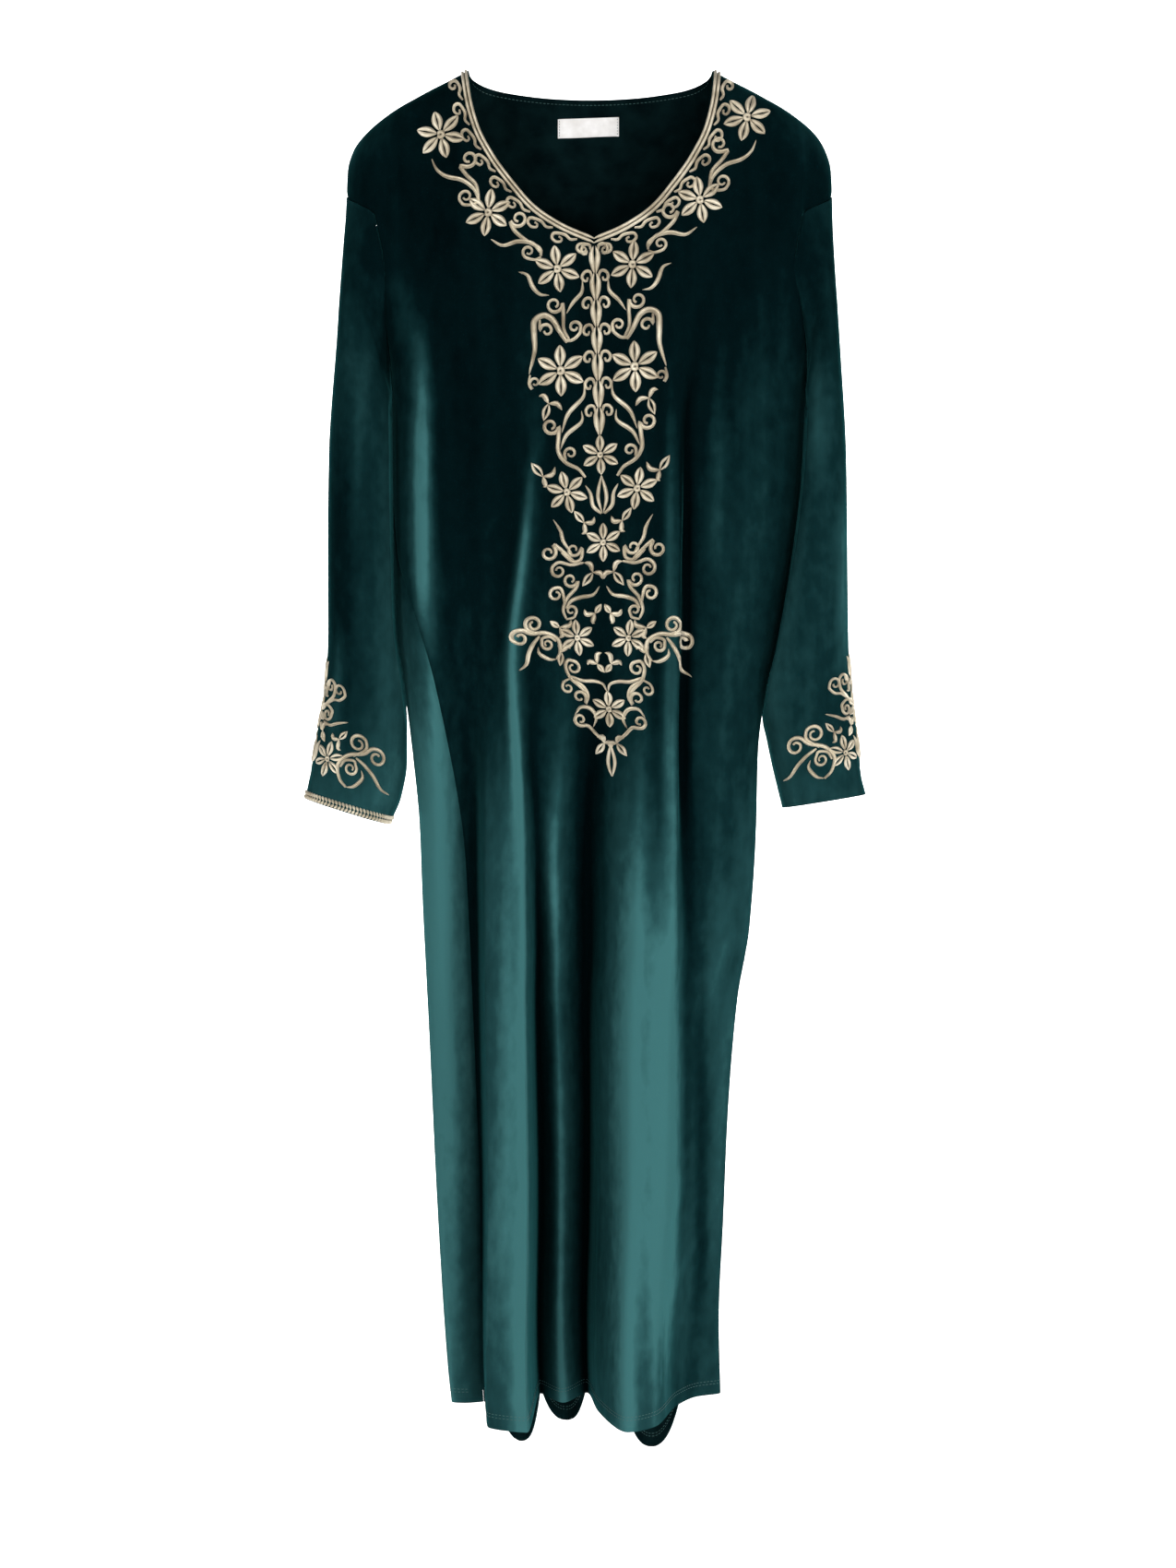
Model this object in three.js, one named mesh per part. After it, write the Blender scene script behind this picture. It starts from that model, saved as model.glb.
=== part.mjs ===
// A long velvet kaftan with sleeves, hanging empty and open at neck, cuffs and hem.
// Millimetres, +Z up. The front faces -Y and the wearer's left is +X.
// The origin lies between the two neck points, where whatever wears or hangs it carries the shoulders.
//
// The body is one lofted tube: at each height its section is a closed curve through 28 control points,
// 0 to 15 across the front from the -X edge to the +X edge, and 15 to 28 (28 is 0 again) back behind it.
// Front and back panel are two ranges of that tube, and the sleeves start on its armholes.
import * as THREE from "three";

const WALL = 2; // velvet with its pile
const SEAM_GAP = 0.3;
const LAID_GAP = 0.6; // between a panel and what is sewn on it
const TRIM_WIDTH = 8;
const TRIM_THICKNESS = 1.6;
const LABEL_SIZE = [64, 20, 0.8];
const LABEL_CENTRE = [-2, -43];

const ARMHOLE_TOP = -127;
const UNDERARM = -330;
const HEM = -1367;
const NECK_DEPTH_BACK = 13.7;
const NECK_HALF_WIDTH = 125;
const RIGHT_EDGE = 15; // section position of the +X side edge
const ROUND = 28; // section positions once round

// The outline seen from the front: [height, x] of the body's two side edges.
const EDGE_LEFT = [
  [0, -125], [-15, -155], [-31, -187], [-46, -211], [-64, -232], [-80, -244], [-101, -250], [-127, -251],
  [-200, -236], [-260, -218], [-330, -204], [-450, -203], [-570, -200], [-628, -192], [-701, -183],
  [-773, -176], [-851, -173], [-991, -166], [-1161, -158], [-1330, -147], [HEM, -143],
];
const EDGE_RIGHT = [
  [0, 125], [-15, 155], [-31, 187], [-46, 211], [-64, 232], [-80, 242], [-101, 248], [-127, 249],
  [-200, 241], [-260, 230], [-330, 222], [-418, 217], [-494, 208], [-589, 192], [-636, 181], [-700, 173],
  [-779, 171], [-885, 164], [-957, 152], [-1075, 143], [-1182, 139], [-1288, 135], [HEM, 137],
];
// The +X edge of the hem lies further back than the -X edge.
const EDGE_RIGHT_BACK = [[-800, 0], [-1100, 14], [HEM, 30]];

// Body sections: x and depth of each control point. Depth is measured forward of the line between
// the two side edges on the front, and behind it on the back.
// Front points: edge, near edge, side strip, side valley, fold A left and right, valley, small fold,
// valley, fold B left, middle and right, its foot, side, near edge, edge.
const SECTIONS = [
  {
    z: -130,
    x: [-251, -243, -205, -160, -115, -80, -50, -20, 10, 40, 75, 110, 150, 200, 241, 249,
      241, 205, 160, 115, 70, 25, -20, -65, -110, -155, -205, -243],
    depth: [0, 16, 34, 42, 45, 46, 46, 46, 46, 46, 46, 45, 42, 34, 16, 0,
      16, 34, 41, 43, 44, 44, 44, 44, 43, 41, 34, 16],
  },
  {
    z: -400,
    x: [-204, -199, -168, -128, -80, -52, -36, -12, 12, 36, 62, 87, 98, 150, 212, 218,
      212, 180, 140, 100, 60, 20, -18, -55, -95, -135, -172, -199],
    depth: [0, 24, 54, 44, 47, 53, 50, 50, 49, 50, 52, 54, 44, 50, 24, 0,
      22, 42, 46, 50, 46, 50, 47, 51, 46, 49, 42, 22],
  },
  {
    z: -620,
    x: [-192, -187, -160, -128, -98, -74, -56, -22, 5, 32, 58, 85, 96, 135, 176, 182,
      177, 152, 122, 88, 58, 22, -12, -46, -76, -108, -148, -187],
    depth: [0, 20, 50, 34, 48, 66, 56, 50, 43, 54, 62, 64, 46, 46, 20, 0,
      20, 42, 54, 42, 56, 44, 54, 42, 56, 48, 46, 20],
  },
  {
    z: -800,
    x: [-175, -171, -152, -120, -104, -68, -54, -36, -4, 20, 50, 82, 98, 130, 166, 170,
      166, 146, 116, 82, 54, 18, -12, -44, -66, -98, -134, -171],
    depth: [0, 16, 34, 10, 58, 74, 38, 46, 18, 52, 78, 76, 48, 38, 16, 0,
      18, 44, 58, 40, 62, 42, 58, 40, 60, 44, 44, 16],
  },
  {
    z: -1100,
    x: [-162, -158, -140, -114, -102, -64, -53, -31, -4, 12, 42, 74, 96, 122, 138, 142,
      138, 124, 100, 74, 46, 16, -8, -36, -58, -88, -120, -158],
    depth: [0, 8, 16, 2, 78, 96, 6, 26, -8, 50, 98, 92, 44, 22, 10, 0,
      16, 38, 56, 66, 42, 34, 36, 58, 36, 70, 40, 14],
  },
  {
    z: HEM,
    x: [-143, -140, -127, -109, -101, -62, -52, -28, -4, 8, 36, 64, 88, 110, 133, 137,
      133, 116, 92, 66, 38, 14, -8, -28, -52, -78, -112, -140],
    depth: [0, 6, 9, 7, 95, 116, -17, 18, -15, 53, 126, 110, 42, 12, 4, 0,
      8, 26, 46, 64, 42, 32, 34, 54, 36, 68, 40, 10],
  },
];

// The hem of the back hangs in three longer folds: [x, drop, half width].
const BACK_HEM_FOLDS = [[65, 74, 34], [-28, 39, 24], [-78, 64, 26]];

// Section position of the side seam on the -X side, which is pulled round to the front lower down.
const SIDE_SEAM = [[-420, 0], [-570, 1.75], [-647, 2.2], [-731, 2.55], [-822, 2.75], [-1100, 2.9], [HEM, 2.95]];

// Half of the front neckline, from the neck point to the point of the neck: [x, z].
const NECKLINE = [
  [NECK_HALF_WIDTH, 0], [124.5, -8], [121, -36], [113.5, -66], [99, -95], [79, -123], [57, -148], [28, -167],
  [0, -179],
];
const NECK_POINT_X = 3.7; // the neck's point lies this far to +X

// How far in from the side edge, in section positions, the armhole seam runs: [share of its height, position].
const ARMHOLE = [[0, 0], [0.06, 1.2], [0.13, 1.62], [0.36, 1.6], [0.6, 1.3], [0.8, 0.9], [1, 0]];
const ARMHOLE_ROWS = [0, 0.03, 0.1, 0.2, 0.32, 0.46, 0.6, 0.74, 0.88, 1];

// Sleeves: [height, x] of the outer outline and of the inner one, which laps over the body's edge.
// The last two heights are the ends of the cuff, and ring heights run between armhole and cuff.
const SLEEVES = {
  right_sleeve: {
    side: -1,
    outer: [[-127, -251], [-167, -254], [-275, -260], [-397, -268], [-480, -269], [-570, -269], [-636, -272],
      [-672, -279], [-708, -285], [-746, -293]],
    inner: [[-330, -204], [-360, -196], [-480, -194], [-570, -193], [-628, -189], [-708, -189], [-745, -195],
      [-773, -207]],
    cuffOuter: -746,
    cuffInner: -773,
  },
  left_sleeve: {
    side: 1,
    outer: [[-127, 249], [-167, 250], [-288, 256], [-397, 262], [-589, 265], [-649, 269], [-682, 274],
      [-722, 278], [-742, 283]],
    inner: [[-330, 222], [-360, 211], [-418, 208], [-494, 197], [-589, 179], [-636, 171], [-682, 181],
      [-715, 188], [-756, 198]],
    cuffOuter: -742,
    cuffInner: -756,
  },
};
const SLEEVE_HALF_DEPTH = [[0, 30], [0.12, 44], [0.35, 62], [0.6, 60], [0.85, 50], [1, 45]];
const SLEEVE_RINGS = 14;
const SLEEVE_SQUARENESS = 0.8; // 1 is an ellipse, and less is fuller at its corners
const SLEEVE_CLEAR = 3; // from sleeve to body where they hang side by side
const SIDE_REACH = 0.4; // share of a sleeve point's depth at which the body's side is measured

// Columns of facets across the panels, as section positions.
const FRONT_COLUMNS = [
  0, 0.5, 1, 1.4, 1.8, 2.1, 2.4, 2.7, 3, 3.33, 3.67, 4, 4.33, 4.67, 5, 5.5, 6, 6.5, 7, 7.5,
  8, 8.5, 9, 9.5, 10, 10.33, 10.67, 11, 11.5, 12, 12.3, 12.6, 12.9, 13.2, 13.5, 13.8, 14.2, 14.6, 15,
];
const BACK_COLUMNS = [
  15, 15.5, 16, 16.5, 17, 17.5, 18, 18.5, 19, 19.5, 20, 20.5, 21,
  21.5, 22, 22.5, 23, 23.5, 24, 24.5, 25, 25.5, 26, 26.5, 27, 27.5, 28,
];
const SHOULDER_COLUMNS = 4;
const ROWS_BELOW = 13; // from the underarm to the hem

// A smooth curve through [position, value] pairs which never overshoots them, as a function.
// Positions rise or fall all the way, and the curve runs on straight past its ends.
function profile(pairs) {
  const sign = pairs[1][0] > pairs[0][0] ? 1 : -1;
  const at = pairs.map((p) => sign * p[0]);
  const value = pairs.map((p) => p[1]);
  const last = pairs.length - 1;
  const step = (i) => (value[i + 1] - value[i]) / (at[i + 1] - at[i]);
  const slope = value.map((_, i) => {
    if (i === 0) return step(0);
    if (i === last) return step(last - 1);
    return meanSlope(step(i - 1), step(i));
  });
  return (position) => {
    const p = sign * position;
    if (p <= at[0]) return value[0] + slope[0] * (p - at[0]);
    if (p >= at[last]) return value[last] + slope[last] * (p - at[last]);
    let i = 0;
    while (at[i + 1] < p) i++;
    const width = at[i + 1] - at[i];
    return hermite((p - at[i]) / width, value[i], value[i + 1], slope[i] * width, slope[i + 1] * width);
  };
}

function meanSlope(a, b) {
  return a * b <= 0 ? 0 : (2 * a * b) / (a + b);
}

function hermite(t, from, to, slopeFrom, slopeTo) {
  const s = t * t * (3 - 2 * t);
  return from + (to - from) * s + slopeFrom * t * (1 - t) ** 2 - slopeTo * t * t * (1 - t);
}

const edgeLeft = profile(EDGE_LEFT);
const edgeRight = profile(EDGE_RIGHT);
const edgeRightBack = profile(EDGE_RIGHT_BACK);
const sideSeam = profile(SIDE_SEAM);
const armhole = profile(ARMHOLE);
const necklineX = profile(NECKLINE.map((p, i) => [i, p[0]]));
const necklineZ = profile(NECKLINE.map((p, i) => [i, p[1]]));
const shares = SECTIONS[0].x.map((_, k) =>
  profile(SECTIONS.map((s) => [s.z, (s.x[k] - s.x[0]) / (s.x[RIGHT_EDGE] - s.x[0])])),
);
const depths = SECTIONS[0].x.map((_, k) => profile(SECTIONS.map((s) => [s.z, s.depth[k]])));

// Control point k of the section at height z, as [x, y].
function controlPoint(k, z) {
  const top = Math.min(z, SECTIONS[0].z);
  const share = shares[k](top);
  const x = edgeLeft(z) + (edgeRight(z) - edgeLeft(z)) * share;
  const back = z < EDGE_RIGHT_BACK[0][0] ? edgeRightBack(z) * share : 0;
  return [x, back + depths[k](top) * (k > RIGHT_EDGE ? 1 : -1)];
}

// The body's outer surface at section position w and height z.
function bodyPoint(w, z) {
  const k = Math.floor(w);
  const near = [-1, 0, 1, 2].map((i) => controlPoint((((k + i) % ROUND) + ROUND) % ROUND, z));
  const [x, y] = [0, 1].map((c) => {
    const [a, b, d, e] = near.map((p) => p[c]);
    return hermite(w - k, b, d, meanSlope(b - a, d - b), meanSlope(d - b, e - d));
  });
  return new THREE.Vector3(x, y, z);
}

function bodyNormal(w, z) {
  const along = bodyPoint(w + 0.04, z).sub(bodyPoint(w - 0.04, z));
  const up = bodyPoint(w, z + 1).sub(bodyPoint(w, z - 1));
  return along.cross(up).normalize();
}

// Section position between `from` and `to` of the point at x and height z.
function positionAt(x, z, from, to) {
  const rises = bodyPoint(to, z).x > bodyPoint(from, z).x;
  let low = from;
  let high = to;
  for (let i = 0; i < 40; i++) {
    const middle = (low + high) / 2;
    if (bodyPoint(middle, z).x < x === rises) low = middle;
    else high = middle;
  }
  return (low + high) / 2;
}

// A seam side is -1 for the -X side and 1 for the +X side, and a face is 1 for the front, -1 for the back.
function armholePosition(share, side, face) {
  const edge = side < 0 ? (face > 0 ? 0 : ROUND) : RIGHT_EDGE;
  return edge - side * face * Math.max(0, armhole(share));
}

function armholeHeight(share) {
  return ARMHOLE_TOP + (UNDERARM - ARMHOLE_TOP) * share;
}

// The points of an armhole: down its front from the shoulder to the underarm, and up its back.
function armholeLoop(side) {
  const turn = ARMHOLE_ROWS.length - 1;
  return Array.from({ length: 2 * turn }, (_, k) => {
    const share = ARMHOLE_ROWS[k <= turn ? k : 2 * turn - k];
    const w = armholePosition(share, side, k <= turn ? 1 : -1);
    const z = armholeHeight(share);
    return { point: bodyPoint(w, z), normal: bodyNormal(w, z) };
  });
}

// The x of the body's side surface on one side. It is taken nearer the edge than the depth y, so that
// a flat facet laid against it stays clear of its bulge.
function sideOfBody(side, y, z) {
  const edge = side < 0 ? 0 : RIGHT_EDGE;
  const reach = Math.abs(y) * SIDE_REACH;
  let x = bodyPoint(edge, z).x;
  for (let step = 0; step <= 2; step += 0.1) {
    const point = bodyPoint(edge - side * Math.sign(-y || 1) * step, z);
    x = point.x;
    if (Math.abs(point.y) >= reach) return x;
  }
  return x - side * 500;
}

// Rings of a sleeve from its armhole to its cuff, each with as many points as the armhole.
function sleeveRings({ side, outer, inner, cuffOuter, cuffInner }) {
  const loop = armholeLoop(side);
  const outerX = profile(outer);
  const innerX = profile(inner);
  const halfDepth = profile(SLEEVE_HALF_DEPTH);
  const rings = [loop.map((p) => p.point)];
  for (let i = 1; i <= SLEEVE_RINGS; i++) {
    const share = i / SLEEVE_RINGS;
    const outerZ = ARMHOLE_TOP + (cuffOuter - ARMHOLE_TOP) * share;
    const innerZ = UNDERARM + (cuffInner - UNDERARM) * (0.25 * share + 0.75 * share ** 1.6);
    const from = new THREE.Vector3(outerX(outerZ), 0, outerZ);
    const to = new THREE.Vector3(innerX(innerZ), 0, innerZ);
    const middle = from.clone().add(to).multiplyScalar(0.5);
    const half = from.clone().sub(to).multiplyScalar(0.5);
    const onArmhole = Math.max(0, 1 - share / 0.2) ** 2;
    rings.push(
      loop.map(({ point }, k) => {
        const angle = (2 * Math.PI * k) / loop.length;
        const across = Math.sign(Math.cos(angle)) * Math.abs(Math.cos(angle)) ** SLEEVE_SQUARENESS;
        const forward = Math.sign(Math.sin(angle)) * Math.abs(Math.sin(angle)) ** SLEEVE_SQUARENESS;
        const ringPoint = middle.clone().addScaledVector(half, across);
        ringPoint.y = -forward * halfDepth(share);
        const start = point.clone().add(new THREE.Vector3(0, 0, ringPoint.z - point.z));
        ringPoint.lerp(start, onArmhole * 0.5);
        if (ringPoint.z < UNDERARM || k === loop.length / 2) {
          const limit = sideOfBody(side, ringPoint.y, ringPoint.z) + side * SLEEVE_CLEAR;
          if (side * ringPoint.x < side * limit) ringPoint.x = limit;
        }
        return ringPoint;
      }),
    );
  }
  return rings;
}

// Outward normals of a tube of rings, from the points next to each point.
function ringNormals(rings, side) {
  return rings.map((ring, i) =>
    ring.map((_, k) => {
      const round = ring.length;
      const along = ring[(k + 1) % round].clone().sub(ring[(k + round - 1) % round]);
      const down = rings[Math.min(i + 1, rings.length - 1)][k].clone().sub(rings[Math.max(i - 1, 0)][k]);
      return along.cross(down).multiplyScalar(side).normalize();
    }),
  );
}

// Makes the closed wall between an outer and an inner grid of points. Rows run down and columns across,
// and a closed wall's columns run all round. `flipped` is for grids whose columns run the other way.
function wallGeometry(outer, inner, closed, flipped) {
  const rows = outer.length;
  const columns = outer[0].length;
  const points = [...outer.flat(), ...inner.flat()];
  const index = (layer, i, k) => layer * rows * columns + i * columns + (k % columns);
  const triangles = [];
  const quad = (a, b, c, d) => triangles.push(...(flipped ? [a, c, b, a, d, c] : [a, b, c, a, c, d]));
  const spans = closed ? columns : columns - 1;
  for (let i = 0; i < rows - 1; i++)
    for (let k = 0; k < spans; k++) {
      quad(index(0, i, k), index(0, i + 1, k), index(0, i + 1, k + 1), index(0, i, k + 1));
      quad(index(1, i, k), index(1, i, k + 1), index(1, i + 1, k + 1), index(1, i + 1, k));
    }
  for (let k = 0; k < spans; k++) {
    // The back half of a sleeve's armhole splits its facets the other way, as the back panel's edge does.
    const start = [index(0, 0, k), index(0, 0, k + 1), index(1, 0, k + 1), index(1, 0, k)];
    if (closed && k >= columns / 2) start.push(start.shift());
    quad(...start);
    const end = rows - 1;
    quad(index(0, end, k), index(1, end, k), index(1, end, k + 1), index(0, end, k + 1));
  }
  if (!closed)
    for (let i = 0; i < rows - 1; i++) {
      const end = columns - 1;
      quad(index(0, i, 0), index(1, i, 0), index(1, i + 1, 0), index(0, i + 1, 0));
      quad(index(0, i, end), index(0, i + 1, end), index(1, i + 1, end), index(1, i, end));
    }
  const geometry = new THREE.BufferGeometry();
  geometry.setAttribute("position", new THREE.Float32BufferAttribute(points.flatMap((p) => p.toArray()), 3));
  geometry.setIndex(triangles);
  geometry.computeVertexNormals();
  return geometry;
}

const moved = (point, direction, distance) => point.clone().addScaledVector(direction, distance);

// Draws a point of a seam in from it by half of its gap, square to the seam and towards a neighbour.
function seamPoint(point, before, after, neighbour) {
  const along = after.clone().sub(before).normalize();
  const inwards = neighbour.clone().sub(point);
  inwards.addScaledVector(along, -inwards.dot(along));
  return moved(point, inwards.normalize(), SEAM_GAP / 2);
}

// Section position and height of every grid point of a panel. Its second row runs one trim width from the
// top edge, and the columns run straight down from there to the underarm, where those below the shoulders
// are pushed in by the armholes. Rows of one height follow down to the hem.
function panelGrid(columns, face, topEdge, hemAt) {
  const firstSide = face > 0 ? -1 : 1;
  const lastColumn = columns.length - 1;
  const seen = ([w, z]) => [bodyPoint(w, z).x, z];
  const border = (side) =>
    ARMHOLE_ROWS.map((share) => [armholePosition(share, side, face), armholeHeight(share)]);
  const sides = [border(firstSide), border(-firstSide)];
  const seenSides = sides.map((side) => side.map(seen));
  const square = squareDirections(topEdge.map(seen), face);
  const beside = topEdge.map((p, k) => besideEdge(p, square[k], columns));
  const bottom = columns.map((w) => [w, UNDERARM]);
  const rows = [topEdge, [sides[0][1], ...beside.slice(1, -1), sides[1][1]]];
  for (let i = 2; i < ARMHOLE_ROWS.length - 1; i++) {
    const v = (ARMHOLE_ROWS[i] - ARMHOLE_ROWS[1]) / (1 - ARMHOLE_ROWS[1]);
    const straight = columns.map((_, k) => mixed(seen(beside[k]), seen(bottom[k]), v));
    const row = straight.map((p, k) => {
      const side = k < lastColumn / 2 ? 0 : 1;
      const edge = side * lastColumn;
      const neck = Math.abs(edge - SHOULDER_COLUMNS);
      const [edgeX, neckX] = [straight[edge][0], straight[neck][0]];
      const push = Math.max(0, 1 - (p[0] - edgeX) / (neckX - edgeX));
      const [x, z] = p.map((value, c) => value + push * (seenSides[side][i][c] - straight[edge][c]));
      return [positionAt(x, z, columns[0], columns.at(-1)), z];
    });
    rows.push([sides[0][i], ...row.slice(1, -1), sides[1][i]]);
  }
  rows.push(bottom);
  for (let i = 1; i <= ROWS_BELOW; i++)
    rows.push(
      columns.map((w) => {
        const share = i / ROWS_BELOW;
        const z = mix(UNDERARM, HEM, share);
        const seam = z < SIDE_SEAM[0][0] ? sideSeam(z) : 0;
        const position = face > 0 ? seamShifted(w, seam) : backShifted(w, seam);
        return [position, z - (hemAt ? hemAt(bodyPoint(position, HEM).x) * share ** 3 : 0)];
      }),
    );
  return rows;
}

const mix = (a, b, share) => (1 - share) * a + share * b;
const mixed = (p, q, share) => p.map((value, c) => mix(value, q[c], share));

// The point of the second row, one trim width from a point of the top edge.
function besideEdge([w, z], [leanX, leanZ], columns) {
  const edge = bodyPoint(w, z);
  const at = (reach) => {
    const height = z + leanZ * reach;
    return [positionAt(edge.x + leanX * reach, height, columns[0], columns.at(-1)), height];
  };
  let low = 0;
  let high = TRIM_WIDTH;
  for (let i = 0; i < 20; i++) {
    const middle = (low + high) / 2;
    if (bodyPoint(...at(middle)).distanceTo(edge) < TRIM_WIDTH) low = middle;
    else high = middle;
  }
  return at(low);
}

// Directions in x and z square to the top edge, into the panel. A corner's is longer, as in a mitre.
function squareDirections(edge, face) {
  const square = edge.slice(1).map((p, k) => {
    const [x, z] = [p[0] - edge[k][0], p[1] - edge[k][1]];
    return [z, -x].map((c) => (face * c) / Math.hypot(x, z));
  });
  return edge.map((_, k) => {
    const before = square[Math.max(k - 1, 0)];
    const after = square[Math.min(k, square.length - 1)];
    const turned = 1 + before[0] * after[0] + before[1] * after[1];
    return [0, 1].map((c) => (before[c] + after[c]) / turned);
  });
}

// Columns near the -X side seam follow it round to the front.
function seamShifted(w, seam) {
  return w < 4 ? seam + (w * (4 - seam)) / 4 : w;
}

function backShifted(w, seam) {
  return w > 26 ? 26 + ((w - 26) * (2 + seam)) / 2 : w;
}

function backHemDrop(x) {
  return BACK_HEM_FOLDS.reduce((drop, [centre, depth, halfWidth]) => {
    const reach = Math.abs(x - centre) / halfWidth;
    return reach < 1 ? Math.max(drop, depth * Math.cos((reach * Math.PI) / 2) ** 2) : drop;
  }, 0);
}

// A point of half of the front neckline, as [x, z]. Share 0 is the neck point and 1 the point of the neck.
function necklinePoint(share) {
  const at = share * (NECKLINE.length - 1);
  return [necklineX(at), necklineZ(at)];
}

function shoulderHeights() {
  return Array.from({ length: SHOULDER_COLUMNS }, (_, k) => ARMHOLE_TOP * (1 - k / SHOULDER_COLUMNS));
}

function frontTopEdge() {
  const half = (FRONT_COLUMNS.length - 1) / 2 - SHOULDER_COLUMNS;
  const shoulder = shoulderHeights().map((z) => [0, z]);
  const neck = [];
  for (let k = -half; k <= half; k++) {
    const share = 1 - Math.abs(k) / half;
    const [x, z] = necklinePoint(share);
    const at = Math.sign(k) * x + NECK_POINT_X * share;
    neck.push(Math.abs(k) === half ? [k < 0 ? 0 : RIGHT_EDGE, 0] : [positionAt(at, z, 0, RIGHT_EDGE), z]);
  }
  return [...shoulder, ...neck, ...shoulder.reverse().map(([, z]) => [RIGHT_EDGE, z])];
}

function backTopEdge() {
  const half = (BACK_COLUMNS.length - 1) / 2 - SHOULDER_COLUMNS;
  const shoulder = shoulderHeights().map((z) => [RIGHT_EDGE, z]);
  const neck = [];
  for (let k = half; k >= -half; k--) {
    const x = NECK_HALF_WIDTH * Math.sign(k) * (1 - (1 - Math.abs(k) / half) ** 1.5);
    const z = -NECK_DEPTH_BACK * (1 - (x / NECK_HALF_WIDTH) ** 2);
    const end = k > 0 ? RIGHT_EDGE : ROUND;
    neck.push(Math.abs(k) === half ? [end, 0] : [positionAt(x, z, RIGHT_EDGE, ROUND), z]);
  }
  return [...shoulder, ...neck, ...shoulder.reverse().map(([, z]) => [ROUND, z])];
}

// A panel's outer points and normals. On the armholes it takes the normals shared with the sleeves.
function panelSurface(grid, face, armholeNormals) {
  const last = grid[0].length - 1;
  const underarmRow = ARMHOLE_ROWS.length - 1;
  const points = grid.map((row) => row.map(([w, z]) => bodyPoint(w, z)));
  const normals = grid.map((row) => row.map(([w, z]) => bodyNormal(w, z)));
  for (let i = 0; i <= underarmRow; i++) {
    const loopIndex = face > 0 ? i : (2 * underarmRow - i) % (2 * underarmRow);
    normals[i][0] = armholeNormals[face > 0 ? -1 : 1][loopIndex];
    normals[i][last] = armholeNormals[face > 0 ? 1 : -1][loopIndex];
  }
  return { points, normals };
}

// Leaves half of the seam gap along the shoulders, armholes and sides of a panel.
function seamed(points) {
  const last = points[0].length - 1;
  const end = points.length - 1;
  const inset = (i, k) => {
    const point = points[i][k];
    const isSide = k === 0 || k === last;
    const isShoulder = i === 0 && (k <= SHOULDER_COLUMNS || k >= last - SHOULDER_COLUMNS);
    if (!isSide && !isShoulder) return point;
    const next = k === 0 ? 1 : k === last ? last - 1 : k;
    if (isSide && i > 0) return seamPoint(point, points[i - 1][k], points[Math.min(i + 1, end)][k], points[i][next]);
    if (isSide) return seamPoint(point, points[0][next], points[1][k], points[1][next]);
    const after = k === SHOULDER_COLUMNS ? k : k + 1;
    const before = k === last - SHOULDER_COLUMNS ? k : k - 1;
    return seamPoint(point, points[0][before], points[0][after], points[1][k]);
  };
  return points.map((row, i) => row.map((_, k) => inset(i, k)));
}

function offsetGrid(points, normals, distance) {
  return points.map((row, i) => row.map((p, k) => moved(p, normals[i][k], distance)));
}

function mesh(name, geometry, material) {
  const made = new THREE.Mesh(geometry, material);
  made.name = name;
  return made;
}

// The gold trim along the front neckline, laid on the panel's two top rows of points.
function neckTrim({ points, normals }) {
  const onNeck = (rows) => rows.slice(0, 2).map((row) => row.slice(SHOULDER_COLUMNS, -SHOULDER_COLUMNS));
  const [strip, stripNormals] = [onNeck(points), onNeck(normals)];
  const inner = offsetGrid(strip, stripNormals, LAID_GAP);
  const outer = offsetGrid(strip, stripNormals, LAID_GAP + TRIM_THICKNESS);
  return wallGeometry(outer, inner, false, false);
}

// The braid round a cuff. It lies on the outside, or inside where the cuff's edge is turned in.
function cuffBraid(rings, normals, turnedIn, flipped) {
  const end = rings.length - 1;
  const strip = [
    rings[end].map((p, k) => p.clone().lerp(rings[end - 1][k], TRIM_WIDTH / p.distanceTo(rings[end - 1][k]))),
    rings[end].map((p) => p.clone()),
  ];
  const stripNormals = [normals[end], normals[end]];
  const near = turnedIn ? -WALL - LAID_GAP : LAID_GAP;
  const far = near + (turnedIn ? -TRIM_THICKNESS : TRIM_THICKNESS);
  const outer = offsetGrid(strip, stripNormals, Math.max(near, far));
  const inner = offsetGrid(strip, stripNormals, Math.min(near, far));
  return wallGeometry(outer, inner, true, flipped);
}

// The blank woven label inside the back of the neck.
function neckLabel() {
  const [width, height, thickness] = LABEL_SIZE;
  const spans = 4;
  const points = [];
  const normals = [];
  for (const z of [LABEL_CENTRE[1] + height / 2, LABEL_CENTRE[1] - height / 2]) {
    const positions = Array.from({ length: spans + 1 }, (_, k) =>
      positionAt(LABEL_CENTRE[0] + width * (k / spans - 0.5), z, RIGHT_EDGE, ROUND),
    );
    points.push(positions.map((w) => bodyPoint(w, z)));
    normals.push(positions.map((w) => bodyNormal(w, z)));
  }
  const near = -WALL - LAID_GAP;
  return wallGeometry(
    offsetGrid(points, normals, near),
    offsetGrid(points, normals, near - thickness),
    false,
    true,
  );
}

// A sleeve's first ring, drawn in from its seam.
function seamedRing(ring, next) {
  const round = ring.length;
  return ring.map((p, k) => seamPoint(p, ring[(k + round - 1) % round], ring[(k + 1) % round], next[k]));
}

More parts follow.
